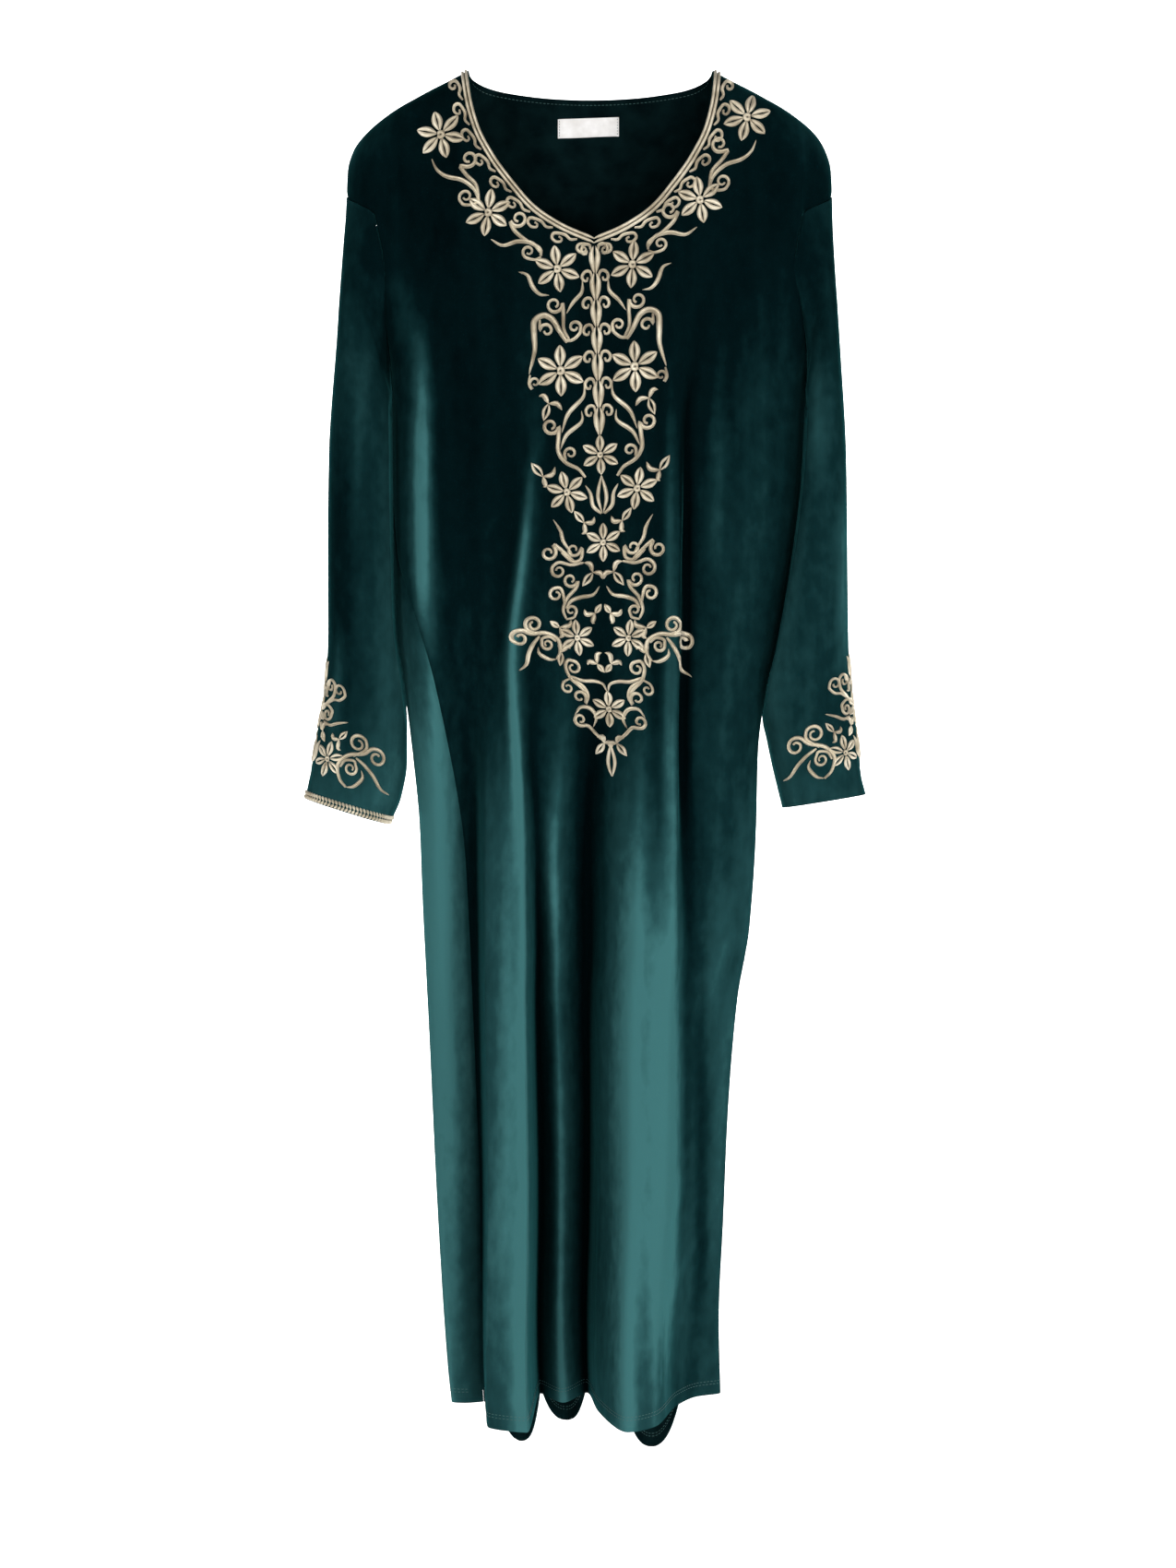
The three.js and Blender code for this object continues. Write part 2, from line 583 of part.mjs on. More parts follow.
function kaftan() {
  const velvet = () => new THREE.MeshStandardMaterial({ color: 0x0f4646, roughness: 0.7, metalness: 0 });
  const gold = () => new THREE.MeshStandardMaterial({ color: 0xbfa67c, roughness: 0.45, metalness: 0.2 });
  const satin = new THREE.MeshStandardMaterial({ color: 0xe4e0da, roughness: 0.5, metalness: 0 });
  const garment = new THREE.Group();
  const armholeNormals = {};
  const sleeves = {};
  for (const [name, sizes] of Object.entries(SLEEVES)) {
    const rings = sleeveRings(sizes);
    const normals = ringNormals(rings, sizes.side);
    const loop = armholeLoop(sizes.side);
    normals[0] = normals[0].map((n, k) => n.clone().add(loop[k].normal).normalize());
    armholeNormals[sizes.side] = normals[0];
    sleeves[name] = { rings, normals, flipped: sizes.side > 0 };
  }
  const front = panelSurface(panelGrid(FRONT_COLUMNS, 1, frontTopEdge()), 1, armholeNormals);
  const back = panelSurface(panelGrid(BACK_COLUMNS, -1, backTopEdge(), backHemDrop), -1, armholeNormals);
  for (const [name, { points, normals }] of [["front_panel", front], ["back_panel", back]]) {
    const outer = seamed(points);
    garment.add(mesh(name, wallGeometry(outer, offsetGrid(outer, normals, -WALL), false, false), velvet()));
  }
  for (const [name, { rings, normals, flipped }] of Object.entries(sleeves)) {
    const outer = [seamedRing(rings[0], rings[1]), ...rings.slice(1)];
    const wall = wallGeometry(outer, offsetGrid(outer, normals, -WALL), true, flipped);
    garment.add(mesh(name, wall, velvet()));
  }
  const { right_sleeve: right, left_sleeve: left } = sleeves;
  garment.add(mesh("neck_trim", neckTrim(front), gold()));
  garment.add(mesh("right_cuff_braid", cuffBraid(right.rings, right.normals, false, right.flipped), gold()));
  garment.add(mesh("left_cuff_braid", cuffBraid(left.rings, left.normals, true, left.flipped), gold()));
  garment.add(mesh("neck_label", neckLabel(), satin));
  return garment;
}

const group = kaftan();
export default group;
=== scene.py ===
"""The velvet kaftan's looks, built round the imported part.

Its cloth follows the part's own sections, so their sizes are repeated here in millimetres, +Z up, with the
front facing -Y. Meshes are made in metres.
"""
import math
from functools import partial

import bpy
import numpy as np
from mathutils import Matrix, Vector


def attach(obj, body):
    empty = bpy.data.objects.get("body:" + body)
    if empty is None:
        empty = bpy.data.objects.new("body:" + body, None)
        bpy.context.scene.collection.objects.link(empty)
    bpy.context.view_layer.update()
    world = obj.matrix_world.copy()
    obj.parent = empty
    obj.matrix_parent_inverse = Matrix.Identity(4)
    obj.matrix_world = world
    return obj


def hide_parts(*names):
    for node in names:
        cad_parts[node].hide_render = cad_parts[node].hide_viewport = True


MM = 0.001
WALL = 1.6
SEAM_GAP = 0.3
TRIM_WIDTH = 8
ARMHOLE_TOP, UNDERARM, HEM = -127, -330, -1367
NECK_DEPTH_BACK, NECK_HALF_WIDTH = 13.7, 125
# A section position counts control points: 0 at the -X side, round the front to RIGHT_EDGE at the +X side,
# and round the back to ROUND.
RIGHT_EDGE, ROUND = 15, 28
SHOULDER_COLUMNS = 4
COLUMN_SPLITS = 6  # fine columns of cloth to each of the part's columns
ROW_SPLITS = 5
FINE_ROWS_BELOW = 130  # from the underarm to the hem

# The body's sides, as pairs of height and x.
EDGE_LEFT = [
    [0, -125], [-15, -155], [-31, -187], [-46, -211], [-64, -232], [-80, -244], [-101, -250], [-127, -251],
    [-200, -236], [-260, -218], [-330, -204], [-450, -203], [-570, -200], [-628, -192], [-701, -183],
    [-773, -176], [-851, -173], [-991, -166], [-1161, -158], [-1330, -147], [HEM, -143],
]
EDGE_RIGHT = [
    [0, 125], [-15, 155], [-31, 187], [-46, 211], [-64, 232], [-80, 242], [-101, 248], [-127, 249],
    [-200, 241], [-260, 230], [-330, 222], [-418, 217], [-494, 208], [-589, 192], [-636, 181], [-700, 173],
    [-779, 171], [-885, 164], [-957, 152], [-1075, 143], [-1182, 139], [-1288, 135], [HEM, 137],
]
EDGE_RIGHT_BACK = [[-800, 0], [-1100, 14], [HEM, 30]]

# The body's sections: each row holds one section's control points, in x and in depth from the middle.
SECTION_HEIGHTS = [-130, -400, -620, -800, -1100, HEM]
SECTION_X = [
    [-251, -243, -205, -160, -115, -80, -50, -20, 10, 40, 75, 110, 150, 200, 241, 249,
     241, 205, 160, 115, 70, 25, -20, -65, -110, -155, -205, -243],
    [-204, -199, -168, -128, -80, -52, -36, -12, 12, 36, 62, 87, 98, 150, 212, 218,
     212, 180, 140, 100, 60, 20, -18, -55, -95, -135, -172, -199],
    [-192, -187, -160, -128, -98, -74, -56, -22, 5, 32, 58, 85, 96, 135, 176, 182,
     177, 152, 122, 88, 58, 22, -12, -46, -76, -108, -148, -187],
    [-175, -171, -152, -120, -104, -68, -54, -36, -4, 20, 50, 82, 98, 130, 166, 170,
     166, 146, 116, 82, 54, 18, -12, -44, -66, -98, -134, -171],
    [-162, -158, -140, -114, -102, -64, -53, -31, -4, 12, 42, 74, 96, 122, 138, 142,
     138, 124, 100, 74, 46, 16, -8, -36, -58, -88, -120, -158],
    [-143, -140, -127, -109, -101, -62, -52, -28, -4, 8, 36, 64, 88, 110, 133, 137,
     133, 116, 92, 66, 38, 14, -8, -28, -52, -78, -112, -140],
]
SECTION_DEPTH = [
    [0, 16, 34, 42, 45, 46, 46, 46, 46, 46, 46, 45, 42, 34, 16, 0,
     16, 34, 41, 43, 44, 44, 44, 44, 43, 41, 34, 16],
    [0, 24, 54, 44, 47, 53, 50, 50, 49, 50, 52, 54, 44, 50, 24, 0,
     22, 42, 46, 50, 46, 50, 47, 51, 46, 49, 42, 22],
    [0, 20, 50, 34, 48, 66, 56, 50, 43, 54, 62, 64, 46, 46, 20, 0,
     20, 42, 54, 42, 56, 44, 54, 42, 56, 48, 46, 20],
    [0, 16, 34, 10, 58, 74, 38, 46, 18, 52, 78, 76, 48, 38, 16, 0,
     18, 44, 58, 40, 62, 42, 58, 40, 60, 44, 44, 16],
    [0, 8, 16, 2, 78, 96, 6, 26, -8, 50, 98, 92, 44, 22, 10, 0,
     16, 38, 56, 66, 42, 34, 36, 58, 36, 70, 40, 14],
    [0, 6, 9, 7, 95, 116, -17, 18, -15, 53, 126, 110, 42, 12, 4, 0,
     8, 26, 46, 64, 42, 32, 34, 54, 36, 68, 40, 10],
]
BACK_HEM_FOLDS = [[65, 74, 34], [-28, 39, 24], [-78, 64, 26]]  # each one's x, depth and half width
# The -X side seam goes round to the front: pairs of height and section position.
SIDE_SEAM = [[-420, 0], [-570, 1.75], [-647, 2.2], [-731, 2.55], [-822, 2.75], [-1100, 2.9], [HEM, 2.95]]
NECKLINE = [
    [NECK_HALF_WIDTH, 0], [124.5, -8], [121, -36], [113.5, -66], [99, -95], [79, -123], [57, -148],
    [28, -167], [0, -179],
]
NECK_POINT_X = 3.7
NECK_POINT_Z = NECKLINE[-1][1]
# Shares of the way down an armhole, and section positions in from the side.
ARMHOLE = [[0, 0], [0.06, 1.2], [0.13, 1.62], [0.36, 1.6], [0.6, 1.3], [0.8, 0.9], [1, 0]]
ARMHOLE_ROWS = [0, 0.03, 0.1, 0.2, 0.32, 0.46, 0.6, 0.74, 0.88, 1]
SLEEVES = {
    "right_sleeve": {
        "side": -1,
        "outer": [[-127, -251], [-167, -254], [-275, -260], [-397, -268], [-480, -269], [-570, -269],
                  [-636, -272], [-672, -279], [-708, -285], [-746, -293]],
        "inner": [[-330, -204], [-360, -196], [-480, -194], [-570, -193], [-628, -189], [-708, -189],
                  [-745, -195], [-773, -207]],
        "cuff_outer": -746,
        "cuff_inner": -773,
    },
    "left_sleeve": {
        "side": 1,
        "outer": [[-127, 249], [-167, 250], [-288, 256], [-397, 262], [-589, 265], [-649, 269],
                  [-682, 274], [-722, 278], [-742, 283]],
        "inner": [[-330, 222], [-360, 211], [-418, 208], [-494, 197], [-589, 179], [-636, 171],
                  [-682, 181], [-715, 188], [-756, 198]],
        "cuff_outer": -742,
        "cuff_inner": -756,
    },
}
SLEEVE_HALF_DEPTH = [[0, 30], [0.12, 44], [0.35, 62], [0.6, 60], [0.85, 50], [1, 45]]
SLEEVE_RINGS, SLEEVE_RING_SPLITS = 14, 7
SLEEVE_SQUARENESS, SLEEVE_CLEAR, SIDE_REACH = 0.8, 3, 0.4
INNER_EASE, INNER_POWER = 0.75, 1.6  # how late the inner ends of a sleeve's rings go down
ARMHOLE_SHARE = 0.2  # of a sleeve, over which its rings leave the armhole's form
UNDERARM_FADE = 20  # below the underarm, over which a sleeve comes to keep clear of the body
FRONT_COLUMNS = [
    0, 0.5, 1, 1.4, 1.8, 2.1, 2.4, 2.7, 3, 3.33, 3.67, 4, 4.33, 4.67, 5, 5.5, 6, 6.5, 7, 7.5,
    8, 8.5, 9, 9.5, 10, 10.33, 10.67, 11, 11.5, 12, 12.3, 12.6, 12.9, 13.2, 13.5, 13.8, 14.2, 14.6, 15,
]
BACK_COLUMNS = [15 + 0.5 * i for i in range(27)]


# ---- Curves and the body's form ----


def mean_slope(a, b):
    total = np.where(a + b == 0, 1, a + b)
    return np.where(a * b <= 0, 0, 2 * a * b / total)


def smooth(t):
    """0 to 1, level at both ends."""
    return t * t * (3 - 2 * t)


def hermite(t, start, end, slope_start, slope_end):
    bend = slope_start * t * (1 - t) ** 2 - slope_end * t * t * (1 - t)
    return start + (end - start) * smooth(t) + bend


def knot_slopes(at, values):
    """Slopes of smooth curves that never overshoot; values has one row for each curve."""
    step = np.diff(values) / np.diff(at)
    return np.concatenate([step[..., :1], mean_slope(step[..., :-1], step[..., 1:]), step[..., -1:]], axis=-1)


class Profile:
    """A smooth curve through (position, value) pairs, straight past its ends."""

    def __init__(self, pairs):
        pairs = np.array(sorted(map(tuple, pairs)), float)
        self.at, self.value = pairs.T
        self.slope = knot_slopes(self.at, self.value)

    def __call__(self, position):
        p = np.asarray(position, float)
        i = np.clip(np.searchsorted(self.at, p) - 1, 0, len(self.at) - 2)
        width = self.at[i + 1] - self.at[i]
        t = np.clip((p - self.at[i]) / width, 0, 1)
        slopes = self.slope[i] * width, self.slope[i + 1] * width
        inside = hermite(t, self.value[i], self.value[i + 1], *slopes)
        before = np.minimum(p - self.at[0], 0) * self.slope[0]
        after = np.maximum(p - self.at[-1], 0) * self.slope[-1]
        return inside + before + after


edge_left, edge_right = Profile(EDGE_LEFT), Profile(EDGE_RIGHT)
edge_right_back, side_seam, armhole = Profile(EDGE_RIGHT_BACK), Profile(SIDE_SEAM), Profile(ARMHOLE)
neckline_x = Profile([[i, p[0]] for i, p in enumerate(NECKLINE)])
neckline_z = Profile([[i, p[1]] for i, p in enumerate(NECKLINE)])

STEP_ROUND, STEP_UP = 0.04, 1  # each way, for the slopes of the body's surface
HALVINGS, TRIM_HALVINGS = 26, 14
KNOTS = np.array(SECTION_HEIGHTS[::-1], float)
_x = np.array(SECTION_X[::-1], float).T
SHARES = (_x - _x[0]) / (_x[RIGHT_EDGE] - _x[0])
DEPTHS = np.array(SECTION_DEPTH[::-1], float).T
SHARE_SLOPES, DEPTH_SLOPES = knot_slopes(KNOTS, SHARES), knot_slopes(KNOTS, DEPTHS)


def section_value(values, slopes, k, z):
    """Values of control points k at heights z. Above the top section they stay as they are there."""
    z = np.minimum(z, KNOTS[-1])
    i = np.clip(np.searchsorted(KNOTS, z) - 1, 0, len(KNOTS) - 2)
    width = KNOTS[i + 1] - KNOTS[i]
    t = np.clip((z - KNOTS[i]) / width, 0, 1)
    ends = slopes[k, i] * width, slopes[k, i + 1] * width
    inside = hermite(t, values[k, i], values[k, i + 1], *ends)
    return inside + np.minimum(z - KNOTS[0], 0) * slopes[k, 0]


def control_point(k, z):
    share = section_value(SHARES, SHARE_SLOPES, k, z)
    x = edge_left(z) + (edge_right(z) - edge_left(z)) * share
    back = np.where(z < EDGE_RIGHT_BACK[0][0], edge_right_back(z) * share, 0)
    depth = section_value(DEPTHS, DEPTH_SLOPES, k, z)
    return x, back + depth * np.where(k > RIGHT_EDGE, 1, -1)


def body_point(w, z):
    """The body's outer surface at section positions w and heights z."""
    w, z = np.broadcast_arrays(np.asarray(w, float), np.asarray(z, float))
    k = np.floor(w).astype(int)
    near = [control_point((k + i) % ROUND, z) for i in (-1, 0, 1, 2)]
    xy = []
    for c in (0, 1):
        a, b, d, e = (p[c] for p in near)
        xy.append(hermite(w - k, b, d, mean_slope(b - a, d - b), mean_slope(d - b, e - d)))
    return np.stack([*xy, z], axis=-1)


def unit(v):
    return v / np.maximum(np.linalg.norm(v, axis=-1, keepdims=True), 1e-9)


def body_normal(w, z):
    along = body_point(w + STEP_ROUND, z) - body_point(w - STEP_ROUND, z)
    up = body_point(w, z + STEP_UP) - body_point(w, z - STEP_UP)
    return unit(np.cross(along, up))


def position_at(x, z, start, end):
    """Section positions, between start and end, of the points at x and heights z."""
    x, z = np.broadcast_arrays(np.asarray(x, float), np.asarray(z, float))
    low, high = np.full(x.shape, float(start)), np.full(x.shape, float(end))
    rises = body_point(high, z)[..., 0] > body_point(low, z)[..., 0]
    for _ in range(HALVINGS):
        middle = (low + high) / 2
        goes_up = (body_point(middle, z)[..., 0] < x) == rises
        low, high = np.where(goes_up, middle, low), np.where(goes_up, high, middle)
    return (low + high) / 2


def lengths_along(points, axis=0):
    """The length along each line of points that follows the axis, from 0 at its start."""
    span = np.linalg.norm(np.diff(points, axis=axis), axis=-1)
    return np.insert(np.cumsum(span, axis=axis), 0, 0, axis=axis)


def refined(values, splits):
    """The list with each span split evenly."""
    values = np.asarray(values, float)
    return np.interp(np.arange((len(values) - 1) * splits + 1) / splits, np.arange(len(values)), values)


def smooth_rows(values, splits, corners):
    """Rows of coordinates refined by smooth curves that break at the corners."""
    pieces = []
    for start, end in zip(corners[:-1], corners[1:]):
        at = np.arange(end - start + 1)
        fine = np.arange((end - start) * splits + 1) / splits
        part = np.stack([Profile(list(zip(at, column)))(fine) for column in values[start:end + 1].T], axis=-1)
        pieces.append(part if start == 0 else part[1:])
    return np.concatenate(pieces)


# ---- Creases: soft ridges and troughs laid on the panels ----

# Each is its line in x and z, its half width and its height, which is below 0 for a trough.
FRONT_CREASES = [
    ([[93, -330], [91, -420], [86, -560], [84, -700], [84, -885]], 5, 3.2),
    ([[99, -330], [98, -420], [94, -560], [93, -700], [93, -885]], 6, -3.5),
    ([[-51, -350], [-66, -500], [-78, -610], [-74, -740]], 6, 3.5),
    ([[-160, -290], [-168, -420], [-166, -560], [-160, -640]], 12, 3.5),
    ([[-150, -300], [-150, -430], [-146, -560]], 9, -2.5),
    ([[118, -300], [130, -420], [128, -560]], 14, 2.5),
    ([[-204, -110], [-196, -160], [-202, -215]], 8, 3),
    ([[225, -100], [214, -150], [222, -205]], 8, 3),
    ([[-190, -330], [-160, -372], [-120, -390]], 8, -2.2),
    ([[205, -345], [170, -372], [135, -384]], 8, -2.2),
    ([[160, -885], [150, -915], [140, -955]], 7, -3.5),
    ([[150, -872], [132, -905], [118, -960]], 7, 2.4),
    ([[125, -1175], [98, -1210], [80, -1262]], 8, 1.8),
    ([[132, -1230], [105, -1275], [86, -1310]], 8, -1.6),
    ([[60, -1190], [82, -1150], [96, -1105]], 9, 1.5),
    ([[-36, -205], [-46, -245], [-44, -290]], 6, 1.2),
    ([[70, -210], [84, -260], [88, -320]], 6, 1.4),
    ([[-50, -405], [-30, -420], [-14, -452]], 7, 1.8),
    ([[-58, -470], [-36, -500], [-20, -520]], 7, -1.8),
    ([[68, -455], [44, -480], [30, -520]], 7, 1.8),
    ([[-62, -520], [-50, -560], [-52, -610]], 6, 1.8),
    ([[72, -530], [60, -575], [62, -620]], 6, -1.6),
    ([[-86, -700], [-84, -900], [-82, -1150], [-80, -1330]], 8, 1.8),
]
BACK_CREASES = [
    ([[-60, -60], [-90, -140], [-100, -260]], 16, 2.5),
    ([[60, -60], [88, -140], [96, -260]], 16, 2.5),
    ([[-204, -110], [-196, -160], [-202, -215]], 8, 3),
    ([[218, -100], [208, -150], [214, -205]], 8, 3),
    ([[-190, -330], [-150, -372], [-110, -390]], 8, -2.2),
    ([[205, -345], [160, -372], [120, -384]], 8, -2.2),
    ([[140, -640], [110, -690], [96, -760]], 9, 2.5),
    ([[-130, -820], [-104, -880], [-96, -950]], 9, 2.2),
    ([[20, -1100], [34, -1170], [40, -1240]], 9, 2),
]

# Streaks of painted highlight (above 0) and painted shade (below 0) on the cloth's colour, laid out in the
# same way as the creases.
FRONT_PAINTED_STREAKS = [
    ([[-167, -230], [-170, -420], [-165, -640]], 10, 12),
    ([[-176, -620], [-168, -800], [-160, -1100], [-154, -1400]], 24, -8),
    ([[-52, -330], [-68, -500], [-79, -608], [-74, -741], [-74, -870]], 6, 10),
    ([[-96, -620], [-92, -780], [-88, -1100], [-86, -1400]], 20, 4),
    ([[-121, -700], [-120, -1000], [-123, -1400]], 12, -7),
    ([[-42, -820], [-40, -1150], [-42, -1400]], 13, -6),
    ([[-4, -690], [0, -900], [2, -1150], [0, -1400]], 13, -3.5),
    ([[46, -700], [52, -800], [64, -1150], [66, -1420]], 32, 6.5),
    ([[76, -800], [80, -1000], [82, -1420]], 14, 6),
    ([[134, -760], [134, -1000], [128, -1300]], 14, 3),
    ([[81, -270], [79, -560], [77, -700], [77, -885]], 5, 6),
    ([[96, -270], [95, -560], [93, -700], [93, -885]], 7, -8),
    ([[112, -880], [114, -1150], [113, -1330]], 6, -4),
    ([[160, -1200], [150, -1300], [146, -1400]], 16, 2.5),
    ([[180, -250], [176, -420], [170, -560]], 12, 3.5),
    ([[130, -230], [128, -400], [126, -560]], 9, 2.5),
    ([[-112, -240], [-118, -420], [-118, -600]], 14, -2.5),
]
BACK_PAINTED_STREAKS = [
    ([[-80, -700], [-84, -1000], [-84, -1400]], 20, 3.5),
    ([[-30, -700], [-34, -1000], [-34, -1400]], 12, -4),
    ([[40, -700], [44, -1000], [46, -1400]], 24, 3.5),
    ([[100, -700], [104, -1000], [104, -1400]], 10, -4),
]
SLEEVE_PAINTED_STREAKS = {
    "right_sleeve": [
        ([[-250, -300], [-258, -520], [-262, -790]], 50, -8),
        ([[-222, -240], [-230, -380], [-236, -520]], 8, 3),
        ([[-250, -560], [-258, -640], [-262, -700]], 7, 5),
    ],
    "left_sleeve": [
        ([[245, -330], [255, -520], [265, -790]], 45, -4),
        ([[256, -400], [258, -540], [258, -660]], 10, 9),
        ([[226, -230], [226, -330], [230, -440]], 8, 4),
    ],
}
CREASE_FADE = 0.35  # the share of a crease's height over which it comes in and goes out


def crease_lift(x, z, creases):
    """Height of all the creases at points x, z. Each one fades out at its two ends."""
    lift = np.zeros(np.shape(x))
    for line, half_width, height in creases:
        at_x = Profile([[p[1], p[0]] for p in line])
        bottom, top = sorted((line[0][1], line[-1][1]))
        slope = abs(line[-1][0] - line[0][0]) / (top - bottom)
        across = (x - at_x(np.clip(z, bottom, top))) / math.hypot(1, slope)
        beyond = np.maximum(0, np.maximum(z - top, bottom - z))
        inside = np.clip(np.minimum(top - z, z - bottom) / (CREASE_FADE * (top - bottom)), 0, 1)
        lift += height * smooth(inside) * np.exp(-(across / half_width) ** 2 - (beyond / half_width) ** 2)
    return lift


def creased_surface(x, z, start, end, creases):
    """Points and normals of the creased cloth between two section positions, at x and z."""
    w = position_at(x, z, start, end)
    normal = body_normal(w, z)
    return body_point(w, z) + normal * crease_lift(x, z, creases)[..., None], normal


def front_surface(x, z):
    return creased_surface(x, z, 0, RIGHT_EDGE, FRONT_CREASES)


def back_surface(x, z):
    return creased_surface(x, z, RIGHT_EDGE, ROUND, BACK_CREASES)


# ---- Grids of cloth ----

FINE_ARMHOLE = refined(ARMHOLE_ROWS, ROW_SPLITS)
BAND_ROWS = ROW_SPLITS  # rows of cloth between the neckline and one trim width from it
FRONT_SHIFT_END, BACK_SHIFT_START = 4, 26  # section positions between which columns keep their place
HEM_FOLD_POWER, HEM_FOLD_RISE = 2.3, 3
BACK_NECK_SPACING = 1.5
SEAM_CALM = 12  # from a side seam, over which the creases fade
SEAM_DEPTH, SEAM_REACH = 1.1, 3  # how deep and how far in a side seam is pressed down
SIDE_STEPS = np.arange(0, 2.05, 0.05)  # section positions in from a side edge
NO_LIMIT = 500


def seen(w, z):
    return body_point(w, z)[..., [0, 2]]


def armhole_position(share, side, face):
    edge = (0 if face > 0 else ROUND) if side < 0 else RIGHT_EDGE
    return edge - side * face * np.maximum(0, armhole(share))


def armhole_height(share):
    return ARMHOLE_TOP + (UNDERARM - ARMHOLE_TOP) * share


def with_shoulders(w, z, start, end):
    """A panel's whole top edge: the neck's points w and z between its two shoulders."""
    w[0], w[-1] = start, end
    down = [ARMHOLE_TOP * (1 - k / SHOULDER_COLUMNS) for k in range(SHOULDER_COLUMNS)]
    return [[start, h] for h in down] + list(map(list, zip(w, z))) + [[end, h] for h in down[::-1]]


def neckline_point(share):
    at = np.asarray(share) * (len(NECKLINE) - 1)
    return neckline_x(at), neckline_z(at)


def front_top_edge():
    half = (len(FRONT_COLUMNS) - 1) // 2 - SHOULDER_COLUMNS
    k = np.arange(-half, half + 1)
    share = 1 - np.abs(k) / half
    x, z = neckline_point(share)
    w = position_at(np.sign(k) * x + NECK_POINT_X * share, z, 0, RIGHT_EDGE)
    return with_shoulders(w, z, 0, RIGHT_EDGE)


def back_top_edge():
    half = (len(BACK_COLUMNS) - 1) // 2 - SHOULDER_COLUMNS
    k = np.arange(half, -half - 1, -1)
    x = NECK_HALF_WIDTH * np.sign(k) * (1 - (1 - np.abs(k) / half) ** BACK_NECK_SPACING)
    z = -NECK_DEPTH_BACK * (1 - (x / NECK_HALF_WIDTH) ** 2)
    w = position_at(x, z, RIGHT_EDGE, ROUND)
    return with_shoulders(w, z, RIGHT_EDGE, ROUND)


def square_directions(edge, face):
    """Directions in x and z square to the edge, into the panel. A corner's is longer, as in a mitre."""
    span = np.diff(edge, axis=0)
    square = face * np.stack([span[:, 1], -span[:, 0]], axis=-1) / np.linalg.norm(span, axis=1)[:, None]
    before, after = np.vstack([square[:1], square]), np.vstack([square, square[-1:]])
    return (before + after) / (1 + (before * after).sum(1, keepdims=True))


def beside_edge(top_edge, lean, columns):
    """The points one trim width from the top edge, in x and z."""
    w, z = np.array(top_edge, float).T
    edge = body_point(w, z)

    def at(reach):
        x, height = edge[:, 0] + lean[:, 0] * reach, z + lean[:, 1] * reach
        return x, height, body_point(position_at(x, height, columns[0], columns[-1]), height)

    low, high = np.zeros(len(w)), np.full(len(w), float(TRIM_WIDTH))
    for _ in range(TRIM_HALVINGS):
        middle = (low + high) / 2
        near = np.linalg.norm(at(middle)[2] - edge, axis=1) < TRIM_WIDTH
        low, high = np.where(near, middle, low), np.where(near, high, middle)
    return np.stack(at(low)[:2], axis=-1)


def back_hem_drop(x):
    drop = np.zeros(np.shape(x))
    for centre, depth, half_width in BACK_HEM_FOLDS:
        reach = np.clip(np.abs(x - centre) / half_width, 0, 1)
        drop = np.maximum(drop, depth * (1 - reach ** HEM_FOLD_POWER))
    return drop


def seam_shifted(w, seam, face):
    """Columns near the -X side seam follow it round to the front."""
    if face > 0:
        return np.where(w < FRONT_SHIFT_END, seam + w * (FRONT_SHIFT_END - seam) / FRONT_SHIFT_END, w)
    wide = ROUND - BACK_SHIFT_START
    return np.where(w > BACK_SHIFT_START, BACK_SHIFT_START + (w - BACK_SHIFT_START) * (wide + seam) / wide, w)


def rows_beside_armholes(columns, fine, face, top_edge):
    """A band one trim width deep along the top edge, then rows that spread to the underarm's."""
    last = len(columns) - 1
    corners = [0, SHOULDER_COLUMNS, last - SHOULDER_COLUMNS, last]
    top_seen = seen(*np.array(top_edge, float).T)
    beside = beside_edge(top_edge, square_directions(top_seen, face), columns)
    start, end = columns[0], columns[-1]
    side_w = [armhole_position(FINE_ARMHOLE, side, face) for side in (-face, face)]
    heights = armhole_height(FINE_ARMHOLE)
    side_seen = [seen(w, heights) for w in side_w]
    beside[0], beside[-1] = side_seen[0][BAND_ROWS], side_seen[1][BAND_ROWS]
    top = smooth_rows(top_seen, COLUMN_SPLITS, corners)
    band = smooth_rows(beside, COLUMN_SPLITS, corners)
    bottom = seen(fine, np.full(len(fine), float(UNDERARM)))
    k = np.arange(len(fine))
    side = (k >= len(fine) / 2).astype(int)
    edge = np.where(side == 0, 0, len(fine) - 1)
    neck = np.where(side == 0, SHOULDER_COLUMNS, last - SHOULDER_COLUMNS) * COLUMN_SPLITS
    on_shoulder = (k <= neck.min()) | (k >= neck.max())
    rows = []
    for i, share in enumerate(FINE_ARMHOLE[:-1]):
        if i <= BAND_ROWS:
            row = top + (band - top) * (i / BAND_ROWS)
        else:
            v = (share - ARMHOLE_ROWS[1]) / (1 - ARMHOLE_ROWS[1])
            straight = band + (bottom - band) * v
            x_edge = straight[edge, 0]
            push = np.maximum(0, 1 - (straight[:, 0] - x_edge) / (straight[neck, 0] - x_edge))
            wanted = np.array([side_seen[0][i], side_seen[1][i]])[side]
            row = straight + push[:, None] * (wanted - straight[edge])
        w = position_at(row[:, 0], row[:, 1], start, end)
        w[0], w[-1] = side_w[0][i], side_w[1][i]
        if i == 0:
            w = np.where(on_shoulder, np.where(side == 0, start, end), w)
        rows.append(np.stack([w, row[:, 1]], axis=-1))
    return rows


def rows_below_underarm(fine, face, drops):
    rows = []
    for share in np.arange(1, FINE_ROWS_BELOW + 1) / FINE_ROWS_BELOW:
        z = UNDERARM + (HEM - UNDERARM) * share
        seam = float(side_seam(z)) if z < SIDE_SEAM[0][0] else 0
        w = seam_shifted(fine, seam, face)
        drop = back_hem_drop(body_point(w, HEM)[:, 0]) * share ** HEM_FOLD_RISE if drops else 0
        rows.append(np.stack([w, np.broadcast_to(z - drop, w.shape)], axis=-1))
    return rows


